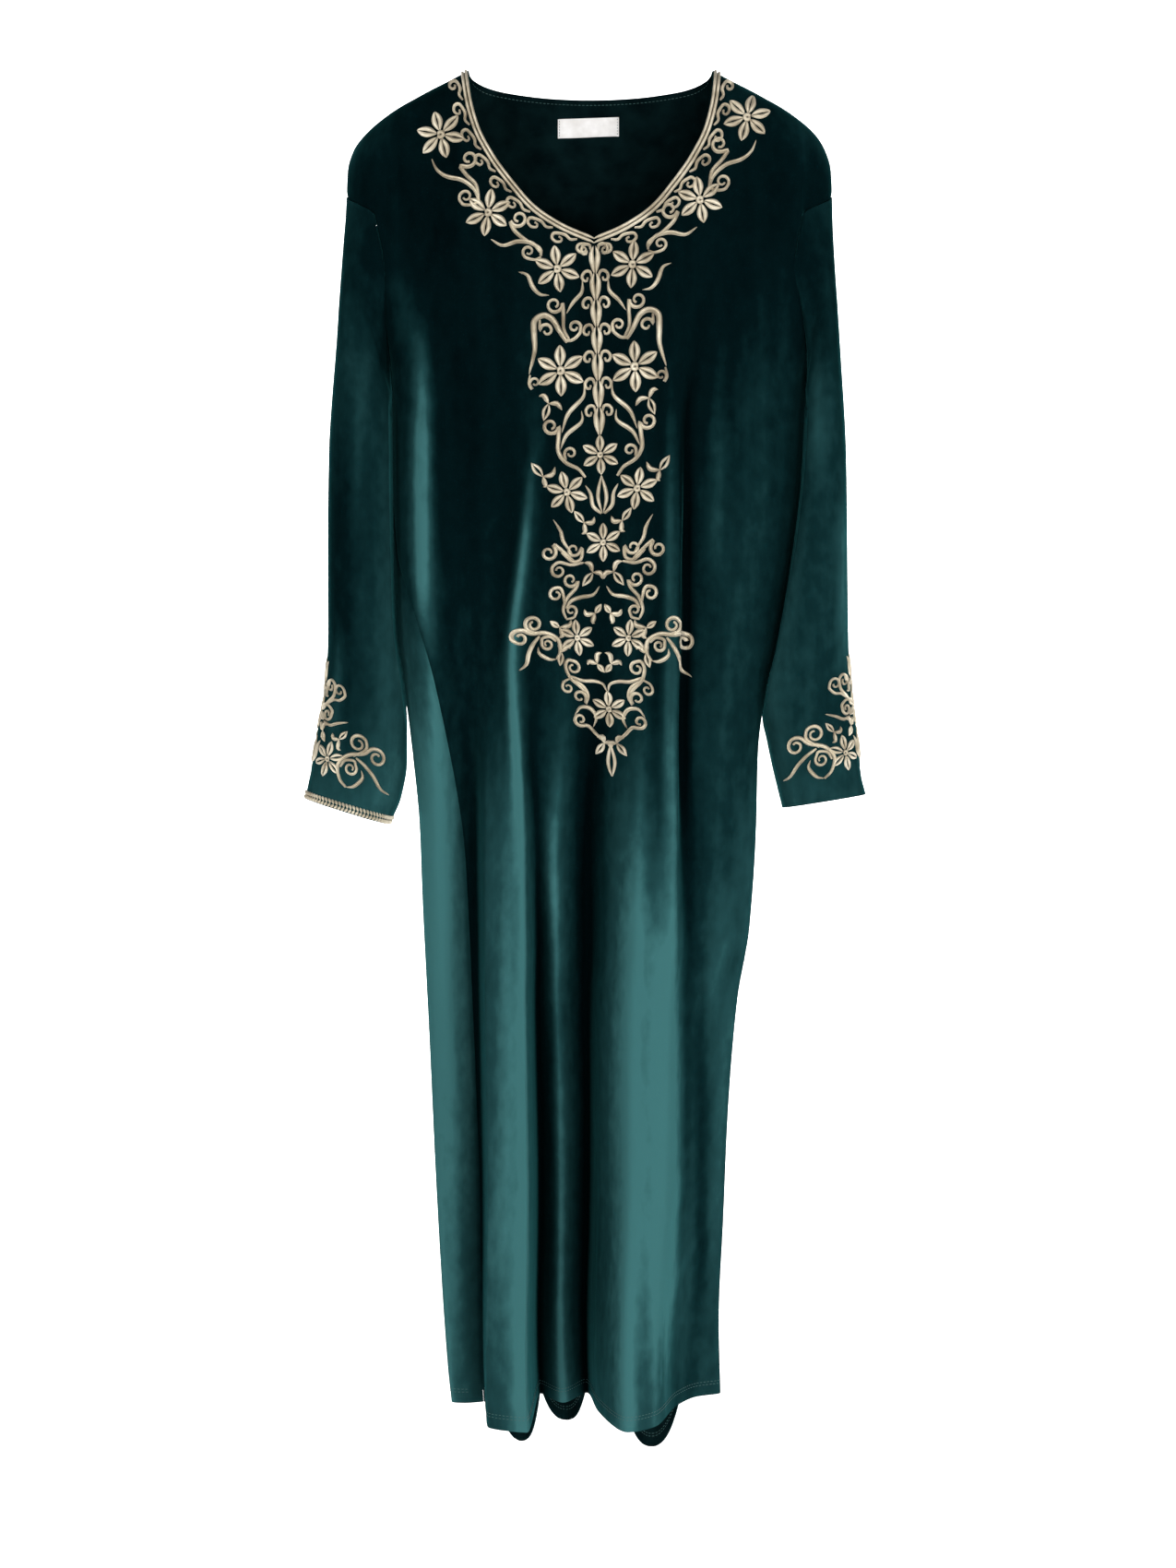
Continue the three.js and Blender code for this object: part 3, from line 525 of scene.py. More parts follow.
def panel_grid(columns, face, top_edge, drops):
    """Section positions and heights of a panel's fine grid, row by row from its top edge to its hem."""
    fine = refined(columns, COLUMN_SPLITS)
    rows = rows_beside_armholes(columns, fine, face, top_edge)
    rows.append(np.stack([fine, np.full(len(fine), float(UNDERARM))], axis=-1))
    return np.array(rows + rows_below_underarm(fine, face, drops))


def panel_cloth(grid, creases):
    """Creased points and normals of a panel's outside, pressed down softly along its side seams."""
    w, z = grid[..., 0], grid[..., 1]
    points, normals = body_point(w, z), body_normal(w, z)
    lift = crease_lift(points[..., 0], points[..., 2], creases)
    from_left = lengths_along(points, axis=1)
    to_edge = np.minimum(from_left, from_left[:, -1:] - from_left)
    lift = lift * np.minimum(1, to_edge / SEAM_CALM) - SEAM_DEPTH * np.exp(-(to_edge / SEAM_REACH) ** 2)
    return points + normals * lift[..., None], normals


def side_of_body(side, y, z):
    """The x of the body's side surface, where it is SIDE_REACH times as deep as y."""
    edge = 0 if side < 0 else RIGHT_EDGE
    face = np.where(y > 0, -1, 1)[:, None]
    heights = np.repeat(z[:, None], len(SIDE_STEPS), axis=1)
    points = body_point((edge - side * face * SIDE_STEPS) % ROUND, heights)
    found = np.abs(points[..., 1]) >= np.abs(y)[:, None] * SIDE_REACH
    nearest = points[np.arange(len(y)), np.argmax(found, axis=1), 0]
    return np.where(found.any(axis=1), nearest, points[:, -1, 0] - side * NO_LIMIT)


def armhole_loop(side):
    """An armhole's points, down its front edge and up its back edge."""
    share = np.concatenate([FINE_ARMHOLE, FINE_ARMHOLE[-2:0:-1]])
    on_front = np.arange(len(share)) < len(FINE_ARMHOLE)
    w = np.where(on_front, armhole_position(share, side, 1), armhole_position(share, side, -1))
    return body_point(w, armhole_height(share))


def squared_off(wave):
    return np.sign(wave) * np.abs(wave) ** SLEEVE_SQUARENESS


def sleeve_rings(side, outer, inner, cuff_outer, cuff_inner):
    """Fine rings of a sleeve from its armhole to its cuff, each from the outer line round the front."""
    loop = armhole_loop(side)
    outer_x, inner_x, half_depth = Profile(outer), Profile(inner), Profile(SLEEVE_HALF_DEPTH)
    angle = 2 * math.pi * np.arange(len(loop)) / len(loop)
    across, forward = squared_off(np.cos(angle)), squared_off(np.sin(angle))
    rings = [loop]
    count = SLEEVE_RINGS * SLEEVE_RING_SPLITS
    for share in np.arange(1, count + 1) / count:
        outer_z = ARMHOLE_TOP + (cuff_outer - ARMHOLE_TOP) * share
        eased = (1 - INNER_EASE) * share + INNER_EASE * share ** INNER_POWER
        inner_z = UNDERARM + (cuff_inner - UNDERARM) * eased
        start = np.array([outer_x(outer_z), 0, outer_z])
        end = np.array([inner_x(inner_z), 0, inner_z])
        ring = (start + end) / 2 + across[:, None] * (start - end) / 2
        ring[:, 1] = -forward * half_depth(share)
        on_armhole = (max(0, 1 - share / ARMHOLE_SHARE) ** 2 + max(0, 1 - share * SLEEVE_RINGS)) / 2
        moved = loop.copy()
        moved[:, 2] += (ring[:, 2] - loop[:, 2]) * min(1, share * SLEEVE_RINGS)
        ring = ring + (moved - ring) * on_armhole
        x, y, z = ring.T
        limit = side_of_body(side, y, z) + side * SLEEVE_CLEAR
        fade = np.clip((UNDERARM - z) / UNDERARM_FADE, 0, 1)
        ring[:, 0] = np.where(side * x < side * limit, x + (limit - x) * fade, x)
        rings.append(ring)
    return np.array(rings)


def ring_normals(points):
    """Normals of a grid whose rows are closed rings, one below the other."""
    along = np.roll(points, -1, axis=1) - np.roll(points, 1, axis=1)
    return unit(np.cross(along, -np.gradient(points, axis=0)))


# ---- Meshes ----

FOLD_REACH, FOLD_SPREAD = 3, 1.7  # columns of the part that a fold is compared with, and their weighting


def add_object(name, data):
    made = bpy.data.objects.new(name, data)
    bpy.context.scene.collection.objects.link(made)
    return made


def make_piece(name, points, faces, material, uv=None, sharp=50):
    """A mesh object in metres from points in millimetres, riding on the garment."""
    mesh = bpy.data.meshes.new(name)
    mesh.from_pydata((np.asarray(points) * MM).tolist(), [], [list(map(int, f)) for f in faces])
    mesh.materials.append(material)
    mesh.polygons.foreach_set("use_smooth", [True] * len(mesh.polygons))
    if uv is not None:
        layer = mesh.uv_layers.new(name="stitch")
        corner = np.zeros(len(mesh.loops), int)
        mesh.loops.foreach_get("vertex_index", corner)
        layer.data.foreach_set("uv", np.asarray(uv, float)[corner].ravel())
    mesh.set_sharp_from_angle(angle=math.radians(sharp))
    piece = add_object(name, mesh)
    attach(piece, "root")
    return piece


def wall_mesh(points, normals, closed, thickness=WALL):
    """Points and faces of the closed wall whose outside is this grid."""
    rows, columns = points.shape[:2]
    both = np.concatenate([points.reshape(-1, 3), (points - normals * thickness).reshape(-1, 3)])
    index = np.arange(rows * columns).reshape(rows, columns)
    if closed:
        index = np.concatenate([index, index[:, :1]], axis=1)
    inner = index + rows * columns
    a, b, c, d = index[:-1, :-1], index[1:, :-1], index[1:, 1:], index[:-1, 1:]
    faces = [np.stack([a, b, c, d], -1).reshape(-1, 4)]
    faces.append(np.stack([v + rows * columns for v in (a, d, c, b)], -1).reshape(-1, 4))

    def strip(edge, edge_inner):
        return np.stack([edge[:-1], edge[1:], edge_inner[1:], edge_inner[:-1]], -1)

    faces.append(strip(index[0], inner[0]))
    faces.append(strip(index[-1][::-1], inner[-1][::-1]))
    if not closed:
        faces.append(strip(index[:, 0][::-1], inner[:, 0][::-1]))
        faces.append(strip(index[:, -1], inner[:, -1]))
    return both, np.concatenate(faces)


def turned(faces, flip):
    return [f[::-1] for f in faces] if flip else faces


def fold_height(points, normals, closed):
    """How far each point stands out from the cloth around it: above 0 on a ridge, below 0 in a trough."""
    reach = FOLD_REACH * COLUMN_SPLITS
    weights = np.exp(-np.linspace(-FOLD_SPREAD, FOLD_SPREAD, 2 * reach + 1) ** 2)
    padding = ((0, 0), (reach, reach), (0, 0))
    padded = np.pad(points, padding, mode="wrap" if closed else "edge")
    columns = points.shape[1]
    around = sum(w * padded[:, i:i + columns] for i, w in enumerate(weights)) / weights.sum()
    return np.sum((points - around) * normals, axis=-1)


def cloth_piece(node, points, normals, closed, flip, painted_streaks):
    """The velvet wall that takes the place of a panel. Its inside is the wrong side of the cloth, dark partly
    with painted shade.
    """
    vertices, faces = wall_mesh(points, normals, closed)
    piece = make_piece(node + "_cloth", vertices, turned(faces, flip), VELVET)
    piece.data.materials.append(REVERSE)
    outside = (points.shape[0] - 1) * (points.shape[1] - (0 if closed else 1))
    material = np.zeros(len(faces), int)
    material[outside:2 * outside] = 1
    piece.data.polygons.foreach_set("material_index", material.tolist())
    # The fold attribute carries painted highlight and painted shade: each point's height over the cloth
    # around it, plus the painted streaks, lightens ridges and darkens troughs in the velvet's colour.
    height = fold_height(points, normals, closed) + crease_lift(points[..., 0], points[..., 2], painted_streaks)
    fold = piece.data.attributes.new("fold", "FLOAT", "POINT")
    fold.data.foreach_set("value", np.concatenate([height, -height]).ravel())
    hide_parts(node)
    return piece


# ---- Materials ----


class Nodes:
    """A material's node tree, with its principled shader."""

    def __init__(self, name):
        self.material = bpy.data.materials.new(name)
        self.material.use_nodes = True
        self.tree = self.material.node_tree
        self.shader = self.tree.nodes["Principled BSDF"]

    def add(self, kind, inputs=(), **settings):
        node = self.tree.nodes.new("ShaderNode" + kind)
        for key, value in settings.items():
            setattr(node, key, value)
        for key, value in dict(inputs).items():
            self.give(node.inputs[key], value)
        return node

    def give(self, socket, value):
        if isinstance(value, bpy.types.NodeSocket):
            self.tree.links.new(value, socket)
        else:
            socket.default_value = value

    def look(self, settings):
        """Sets the shader's inputs, by their names."""
        for name, value in settings.items():
            self.give(self.shader.inputs[name], value)

    def place(self):
        return self.add("TexCoord").outputs["Object"]

    def math(self, operation, a, b=0.0):
        return self.add("Math", {0: a, 1: b}, operation=operation).outputs[0]

    def noise(self, where, scale, detail=2.0):
        node = self.add("TexNoise", {"Vector": where, "Scale": scale, "Detail": detail})
        return node.outputs["Fac"]

    def stretched(self, height):
        """Places in which patterns come out 1 / height times as long in z."""
        return self.add("Mapping", {"Vector": self.place(), "Scale": (1, 1, height)}).outputs[0]

    def map_range(self, value, start, end, low, high):
        inputs = {"Value": value, "From Min": start, "From Max": end, "To Min": low, "To Max": high}
        return self.add("MapRange", inputs).outputs[0]

    def waves(self, value, pitch):
        return self.math("SINE", self.math("MULTIPLY", value, 2 * math.pi / pitch))

    def ramp(self, value, stops):
        node = self.add("ValToRGB", {"Fac": value})
        elements = node.color_ramp.elements
        while len(elements) < len(stops):
            elements.new(0.5)
        for element, (position, colour) in zip(elements, stops):
            element.position = position
            element.color = (*colour, 1)
        return node.outputs["Color"]

    def mix(self, share, a, b, blend_type="MIX"):
        node = self.add("Mix", data_type="RGBA", blend_type=blend_type)
        for key, value in ((0, share), (6, a), (7, b)):
            self.give(node.inputs[key], value)
        return node.outputs[2]

    def bump(self, *layers):
        """Bumps laid over each other: (height socket, strength, distance in metres)."""
        normal = None
        for height, strength, distance in layers:
            inputs = {"Height": height, "Strength": strength, "Distance": distance}
            if normal is not None:
                inputs["Normal"] = normal
            normal = self.add("Bump", inputs).outputs[0]
        self.give(self.shader.inputs["Normal"], normal)


VELVET_STOPS = [
    (0.0, (0.0003, 0.0016, 0.0020)),
    (0.30, (0.0007, 0.0048, 0.0057)),
    (0.50, (0.0024, 0.0135, 0.0150)),
    (0.75, (0.0085, 0.0360, 0.0385)),
    (1.0, (0.0260, 0.0900, 0.0930)),
]
VELVET_PATCHES = [(0.22, 9.0, 0.46), (0.07, 40.0, 0.30), (0.6, 85.0, 0.26)]  # stretch, scale and weight
# The reverse's colours: its own dark knit, made darker still as painted shade for the inside of the garment.
REVERSE_AND_SHADE_STOPS = [(0.3, (0.0008, 0.0034, 0.0040)), (0.7, (0.0020, 0.0078, 0.0085))]
GOLD_STOPS = [(0.30, (0.40, 0.33, 0.22)), (0.5, (0.62, 0.54, 0.395)), (0.72, (0.86, 0.78, 0.61))]
DARK_STOPS = [(0.3, (0.004, 0.026, 0.026)), (0.7, (0.016, 0.075, 0.07))]
SATIN_STOPS = [(0.3, (0.60, 0.58, 0.56)), (0.7, (0.74, 0.73, 0.72))]
STITCH_PITCH, STITCH_SLANT = 0.62, 0.45  # in millimetres, as the threads' coordinates are
WARP_PITCH, WEFT_PITCH = 0.0007, 0.0005  # in metres


def velvet():
    """Dark teal velvet, darker at the shoulders and lighter at the hem: painted shade, partly for the nap's
    lean and partly for the light, which falls more on the lower cloth.
    """
    n = Nodes("velvet")
    place = n.place()
    height = n.add("SeparateXYZ", {0: place}).outputs["Z"]
    fold = n.add("Attribute", attribute_name="fold").outputs["Fac"]
    # Painted shade: the colour darkens towards the shoulders and lightens towards the hem.
    lean = n.map_range(height, -0.18, -0.95, 0.22, 0.62)
    for stretch, scale, weight in VELVET_PATCHES:
        patches = n.noise(n.stretched(stretch), scale, 3.0)
        lean = n.math("ADD", lean, n.math("MULTIPLY", n.math("SUBTRACT", patches, 0.5), weight))
    # Painted highlight on ridges and painted shade in troughs: the fold height, with the painted streaks,
    # lightens or darkens the cloth's colour.
    lean = n.math("ADD", lean, n.map_range(fold, -16.0, 16.0, -0.76, 0.66))
    n.look({
        "Base Color": n.ramp(lean, VELVET_STOPS),
        "Roughness": 0.46,
        "Specular IOR Level": 0.0,
        "Sheen Weight": 0.15,
        "Sheen Roughness": 0.30,
        "Sheen Tint": (0.10, 0.56, 0.58, 1),
    })
    nap = n.noise(place, 650.0, 1.0)
    dents = n.noise(n.stretched(0.35), 60.0, 3.0)
    n.bump((nap, 0.30, 0.0004), (dents, 0.3, 0.0015))
    return n.material


def velvet_reverse():
    """The wrong side of the velvet: a flat knit, dark partly in its own colour and partly with painted shade
    for the inside of the garment.
    """
    n = Nodes("velvet_reverse")
    place = n.place()
    colour = n.ramp(n.noise(place, 45.0, 3.0), REVERSE_AND_SHADE_STOPS)
    n.look({"Base Color": colour, "Roughness": 0.8, "Specular IOR Level": 0.0})
    n.bump((n.noise(place, 900.0, 1.0), 0.25, 0.0003))
    return n.material


def gold_thread():
    """Satin-stitched pale gold thread, ribbed across each stroke."""
    n = Nodes("gold_thread")
    uv = n.add("SeparateXYZ", {0: n.add("UVMap", uv_map="stitch").outputs[0]})
    along, across = uv.outputs["X"], uv.outputs["Y"]
    stitch = n.waves(n.math("ADD", along, n.math("MULTIPLY", across, STITCH_SLANT)), STITCH_PITCH)
    place = n.place()
    colour = n.ramp(n.noise(place, 55.0), GOLD_STOPS)
    # Painted shade: the colour darkens towards each stroke's edges, and the stitch waves add painted shade
    # between the threads and painted highlight on them.
    beside = n.math("MULTIPLY", n.math("ABSOLUTE", across), -0.13)
    shade = n.math("ADD", n.math("MULTIPLY", stitch, 0.15), n.math("ADD", beside, 0.92))
    grey = n.add("CombineColor", {0: shade, 1: shade, 2: shade}).outputs[0]
    n.look({
        "Base Color": n.mix(1.0, colour, grey, "MULTIPLY"),
        "Roughness": 0.36,
        "Metallic": 0.40,
        "Sheen Weight": 0.15,
    })
    n.bump((stitch, 0.55, 0.00025), (n.noise(place, 1200.0), 0.15, 0.0002))
    return n.material


def dark_thread():
    n = Nodes("dark_thread")
    n.look({"Base Color": n.ramp(n.noise(n.place(), 700.0), DARK_STOPS), "Roughness": 0.6})
    return n.material


def satin():
    """Off-white woven satin with a fine crosswise weave."""
    n = Nodes("label_satin")
    place = n.place()
    split = n.add("SeparateXYZ", {0: place})
    weave = n.math("ADD", n.waves(split.outputs["X"], WARP_PITCH), n.waves(split.outputs["Z"], WEFT_PITCH))
    n.look({"Base Color": n.ramp(n.noise(place, 90.0, 3.0), SATIN_STOPS), "Roughness": 0.36})
    n.bump((weave, 0.3, 0.0002))
    return n.material


def paper(grey, roughness, glow):
    """Studio paper with a faint tooth, lit a little from behind."""
    n = Nodes("paper")
    tooth = n.noise(n.place(), 3.0)
    n.look({
        "Base Color": n.ramp(tooth, [(0, [grey * 0.985] * 3), (1, [grey] * 3)]),
        "Roughness": roughness,
        "Emission Color": (1, 1, 1, 1),
        "Emission Strength": glow,
    })
    return n.material


# ---- Embroidery ----

# Motifs are drawn in millimetres: u out from the axis of symmetry and v down from the point of the neck.
AXIS = Profile([[0, 3.7], [200, 9.3], [309, 13], [405, 12.5], [477, 19], [545, 22]])
TILT = Profile([[-200, 0.06], [0, 0.06], [270, 0.055], [380, 0]])  # the yoke hangs a little turned
# Points round a stroke of satin stitch: how far across, and how high. The last one is underneath.
ACROSS = np.array([-1.0, -0.55, 0.0, 0.55, 1.0, 0.0])
DOME = np.array([0.0, 0.8, 1.0, 0.8, 0.0, 0.0])
GROOVED = np.array([0.0, 1.0, 0.45, 1.0, 0.0, 0.0])
THREAD_HEIGHT, PETAL_HEIGHT, THREAD_SINKS = 1.7, 1.87, 0.5
FLOAT = 0.25  # of the thread above the pile at a stroke's edge
FULL_HALF_WIDTH = 1.1  # of the narrowest stroke that stands up fully
EDGE_WIDTH = 0.12
THREAD_SCALE = 0.80
SLEEVE_THREAD_SCALE = 0.64
STROKE_STEP, CURVE_STEPS = 1.7, 8
SPIRAL_STEPS, SPIRAL_SHRINK = 12, 0.66  # steps to a turn, and how much of its radius a spiral loses
CORD_OFFSETS, CORD_WIDTH, CORD_HEIGHT, CORD_POINTS = (2.2, 6.0), 3.7, 2.2, 60
MITRE_CLEAR, MITRE_SLOPE = 0.4, 0.62
PLAIT_PITCH, PLAIT_WIDTH, PLAIT_STRAND = 3.7, 9, 3.5
PLAIT_EDGE, PLAIT_SWEEP = 0.5, (1.7, 2.8)
PETAL_BOW, PETAL_BULGE = 0.125 / 0.83, ((0, 0.12), (0.22, 0.62), (0.5, 1.0), (0.76, 0.72), (1, 0.03))
LEAF_BULGE = ((0, 0.1), (0.45, 1), (1, 0))
SLEEVE_AXIS = 20  # from a sleeve's outer line to its axis of embroidery, towards the front
NECK_SHARES = np.linspace(0, 1, 400)
NECK_LENGTH = lengths_along(np.stack(neckline_point(NECK_SHARES), axis=-1))


def rounded(points):
    """Evenly spaced points along a smooth curve through the given ones, and the length at each."""
    p = np.array(points, float)
    if len(p) > 2:
        ends = np.vstack([2 * p[0] - p[1], p, 2 * p[-1] - p[-2]])
        t = np.linspace(0, 1, CURVE_STEPS + 1)[:-1, None]
        spans = []
        for a, b, c, d in zip(ends, ends[1:], ends[2:], ends[3:]):
            square, cube = 2 * a - 5 * b + 4 * c - d, 3 * b - a - 3 * c + d
            spans.append(0.5 * (2 * b + (c - a) * t + square * t ** 2 + cube * t ** 3))
        p = np.vstack([*spans, p[-1:]])
    length = lengths_along(p)
    count = max(4, int(length[-1] / STROKE_STEP))
    at = np.linspace(0, length[-1], count + 1)
    return np.stack([np.interp(at, length, p[:, c]) for c in (0, 1)], axis=-1), at


def width_along(shape, share):
    """Relative width along a stroke. A leaf is pointed at both ends and a tail at its far one, a curl is
    thinner at both, and a blunt one is even."""
    rise = np.sqrt(np.clip(share / 0.30, 0, 1))
    fall = np.sqrt(np.clip((1 - share) / 0.42, 0, 1))
    if shape == "leaf":
        return np.sin(math.pi * np.clip(share, 0, 1)) ** 0.75
    if shape == "tail":
        return np.minimum(1, 0.45 + 0.55 * rise) * fall
    if shape == "curl":
        return (0.55 + 0.45 * rise) * np.minimum(1, 0.62 + 0.38 * np.clip((1 - share) / 0.4, 0, 1))
    return np.sqrt(np.clip(share / 0.03, 0.1, 1)) * np.sqrt(np.clip((1 - share) / 0.03, 0.1, 1))


class Threadwork:
    """Raised strokes of thread gathered into one mesh. `place` takes u and v to points and normals."""

    def __init__(self, place, scale=THREAD_SCALE):
        self.place = place
        self.scale = scale
        self.strokes = []

    def stroke(self, points, width, shape="tail", height=THREAD_HEIGHT, grooved=True):
        line, at = rounded(points)
        way = unit(np.gradient(line, axis=0))
        side = np.stack([way[:, 1], -way[:, 0]], axis=-1)
        half = self.scale * width / 2 * width_along(shape, at / at[-1]) + EDGE_WIDTH
        flat = line[:, None] + side[:, None] * (ACROSS[:, None] * half[:, None, None])
        profile = GROOVED if grooved else DOME
        rise = profile * height * np.minimum(1, half / FULL_HALF_WIDTH)[:, None] + FLOAT
        rise[:, -1] = -THREAD_SINKS
        uv = np.stack([np.broadcast_to(at[:, None], rise.shape), ACROSS * half[:, None]], axis=-1)
        self.strokes.append((flat, rise, uv))

    def mesh(self, name):
        points, faces, uv, start = [], [], [], 0
        for flat, rise, coordinates in self.strokes:
            index = start + np.arange(rise.size).reshape(rise.shape)
            following = np.roll(index, -1, axis=1)
            quads = np.stack([index[:-1], index[1:], following[1:], following[:-1]], -1).reshape(-1, 4)
            faces += quads.tolist() + [index[0].tolist(), index[-1][::-1].tolist()]
            points.append(np.concatenate([flat.reshape(-1, 2), rise.reshape(-1, 1)], axis=1))
            uv.append(coordinates.reshape(-1, 2))
            start += rise.size
        points, uv = np.concatenate(points), np.concatenate(uv)
        surface, normals = self.place(points[:, 0], points[:, 1])
        points = surface + normals * points[:, 2:]
        return make_piece(name, points, faces, GOLD, uv, sharp=75)


class Motifs:
    """Draws motifs with threadwork, each on both sides of the axis unless it lies on it."""

    sides = (1, -1)

    def __init__(self, work):
        self.work = work

    def draw(self, points, width, shape="tail", **options):
        for side in self.sides:
            self.draw_on(side, points, width, shape, **options)

    def draw_on(self, side, points, width, shape, **options):
        self.work.stroke([(side * u, v) for u, v in points], width, shape, **options)

    def rims(self, side, base, tip, bow, bulge, width, **options):
        """Two strokes from base to tip that bow apart, round a dark slit."""
        way = tip - base
        across = np.array([-way[1], way[0]])
        for half in (1, -1):
            rim = [base + way * s + across * half * bow * b for s, b in bulge]
            self.draw_on(side, rim, width, "leaf", grooved=False, **options)

    def curl(self, path, centre, radius, turn, sweep=1.1, width=4.2):
        """A stroke along the path that ends in a spiral round the centre; turn 1 winds from +u towards +v."""
        last = np.array(path[-1], float) - centre
        start = math.atan2(last[1], last[0])
        steps = int(SPIRAL_STEPS * sweep)
        spiral = []
        for i in range(1, steps + 1):
            share = i / steps
            angle = start + turn * 2 * math.pi * sweep * share
            reach = radius * (1 - SPIRAL_SHRINK * share)
            spiral.append((centre[0] + reach * math.cos(angle), centre[1] + reach * math.sin(angle)))
        self.draw(list(path) + spiral, width, "curl")

    def flower(self, centre, radius, lean=0.0, on_axis=False):
        """Six almond petals, each a stitched rim round a dark slit, about a small round eye."""
        for side in (1,) if on_axis else self.sides:
            for petal in range(6):
                angle = math.pi / 3 * petal + math.pi / 2 + lean
                way = radius * np.array([math.cos(angle), math.sin(angle)])
                base, tip = centre + 0.17 * way, centre + way
                self.rims(side, base, tip, PETAL_BOW, PETAL_BULGE, 0.235 * radius, height=PETAL_HEIGHT)
            self.eye(centre, 0.13 * radius, side)

    def eye(self, centre, radius, side):
        turn = np.linspace(0, 2 * math.pi, 9)
        ring = np.array(centre) + 0.8 * radius * np.stack([np.cos(turn), np.sin(turn)], axis=-1)
        self.draw_on(side, ring, radius * 1.5, "blunt", grooved=False)

    def almond(self, base, tip, bow=0.15, width=3.6, sides=None):
        """A pointed leaf of two rims."""
        for side in sides or self.sides:
            self.rims(side, np.array(base, float), np.array(tip, float), bow, LEAF_BULGE, width)

    def lily(self, base, leaf_tip, *lobes):
        """Two lobes that curve away from each other, with an almond leaf behind them."""
        base = np.array(base, float)
        away = unit(base - leaf_tip)
        for lobe in lobes:
            middle = base + (lobe - base) * 0.55 + away * 3
            self.draw([base - away * 2, middle, lobe], 6.2, "leaf")
        self.almond(base - away * 2, leaf_tip)

    def wing(self, hub, size, turn):
        """A round scroll with a crescent, two curls above and a tail, rotated by turn in radians."""
        def at(u, v):
            c, s = math.cos(turn) * size, math.sin(turn) * size
            return hub[0] + c * u + s * v, hub[1] - s * u + c * v

        body = [at(-8.5, 15), at(-12.5, 7), at(-11, -5), at(1, -11.5), at(16, -10.5), at(24, -13.2)]
        self.curl(body, at(27, -5), 8.4 * size, 1, 1.25, 5.2 * size)
        self.draw([at(-8.5, 15), at(-1, 15.5), at(8.5, 10), at(9.5, 3)], 5.0 * size, "leaf")
        self.curl([at(-9, -3), at(-3, -7.5), at(5, -6)], at(0, 0), 6.2 * size, 1, 1.3, 3.8 * size)
        self.curl([at(6, -10), at(19, -13.5), at(22, -20)], at(14, -20), 8.2 * size, -1, 1.2, 4.6 * size)
        self.draw([at(8, -8), at(14, 0), at(19, 10), at(23, 22), at(31, 29)], 5.0 * size, "tail")


def neck_hooks(work):
    """Comma curls with a wavy leg, nine along each side of the neckline."""
    leg = [(15, 9.5), (9, 12.2), (3, 10.2), (-3, 11.5), (-7.5, 14.2), (-7, 18.8), (-2.5, 20.6), (1.6, 18.4),
           (1.2, 15.2), (-1.8, 15.0)]
    first, pitch = 24, 25.6
    for side in (1, -1):
        for hook in range(9):
            along = first + hook * pitch
            points = [neck_offset(side, along + s, t) for s, t in leg]
            work.stroke(points, 3.9, "curl")


def neck_offset(side, along, out):
    """The u and v of a point that lies `out` from the neckline, `along` it from the shoulder."""
    along = min(max(along, 0), NECK_LENGTH[-1])
    share = float(np.interp(along, NECK_LENGTH, NECK_SHARES))
    (x0, z0), (x1, z1) = (neckline_point(s) for s in (max(share - 0.01, 0), min(share + 0.01, 1)))
    x, z = neckline_point(share)
    way = unit(np.array([x1 - x0, z1 - z0]))
    return side * (x - out * way[1]), NECK_POINT_Z - z - out * way[0]


def neck_place(u, v):
    """Where the neckline's own coordinates lie: they aren't tilted, and the axis is the neck's point."""
    share = np.interp(v, NECK_POINT_Z - neckline_point(NECK_SHARES)[1], NECK_SHARES)
    return front_surface(u + NECK_POINT_X * np.clip(share, 0, 1), np.minimum(NECK_POINT_Z - v, -0.2))


def front_place(u, v):
    x = AXIS(np.maximum(v, 0)) + u
    return front_surface(x, NECK_POINT_Z - v + TILT(v) * u)


def neck_cords():
    """The double raised cord along the neckline, mitred at its point."""
    work = Threadwork(neck_place)
    for out in CORD_OFFSETS:
        for side in (1, -1):
            stops = np.linspace(0, NECK_LENGTH[-1] - 1, CORD_POINTS)
            line = [neck_offset(side, along, out) for along in stops]
            line = [(u, v) for u, v in line if side * u > MITRE_CLEAR]
            line.append((0, line[-1][1] + abs(line[-1][0]) * MITRE_SLOPE))
            work.stroke(line, CORD_WIDTH, "blunt", height=CORD_HEIGHT, grooved=False)
    neck_hooks(work)
    return work.mesh("neck_cords")


def centre_column(motifs):
    """Seven hooked units on a split stem, one below the other."""
    first, pitch = 10, 27.2
    stem = [(1.0, 0), (3.2, 7), (3.1, 13), (2.4, 19), (0.8, 28)]
    hook = [(3.5, 5), (5, -1), (9.5, -1.8), (13, 2.2), (12.2, 7), (8.6, 8), (7.6, 4.6)]
    for k in range(7):
        down = first + k * pitch
        motifs.draw([(u, down + v) for u, v in stem], 6.4, "leaf", grooved=False)
        motifs.draw([(u, down + v) for u, v in hook], 3.9, "curl")


def yoke_motifs(motifs):
    """The flowers and scrolls on both sides of the neck."""
    motifs.flower((155, -113), 25, 0.25)
    motifs.flower((107, -30.5), 24, -0.15)
    motifs.curl([(116, -43), (119, -59), (128, -69), (135, -79)], (126.5, -86), 8.6, 1, 1.2, 4.8)
    motifs.draw([(116, -43), (121, -55), (133, -65), (149, -70), (159, -78), (164, -89)], 5.2)
    motifs.curl([(116, -43), (122, -39.5), (131, -40)], (129.5, -48), 7.4, -1, 1.15, 3.8)
    motifs.curl([(54, 17), (55, 9), (68, 1), (80, -10), (84.5, -20)], (76, -22), 8.6, 1, 1.2, 4.8)
    motifs.draw([(54, 14), (62, 4), (77, 1), (92, 4), (104, -3)], 5.2)
    motifs.curl([(54, 18), (60, 20.5), (68, 18.5)], (66.5, 12), 6.4, -1, 1.1, 3.6)


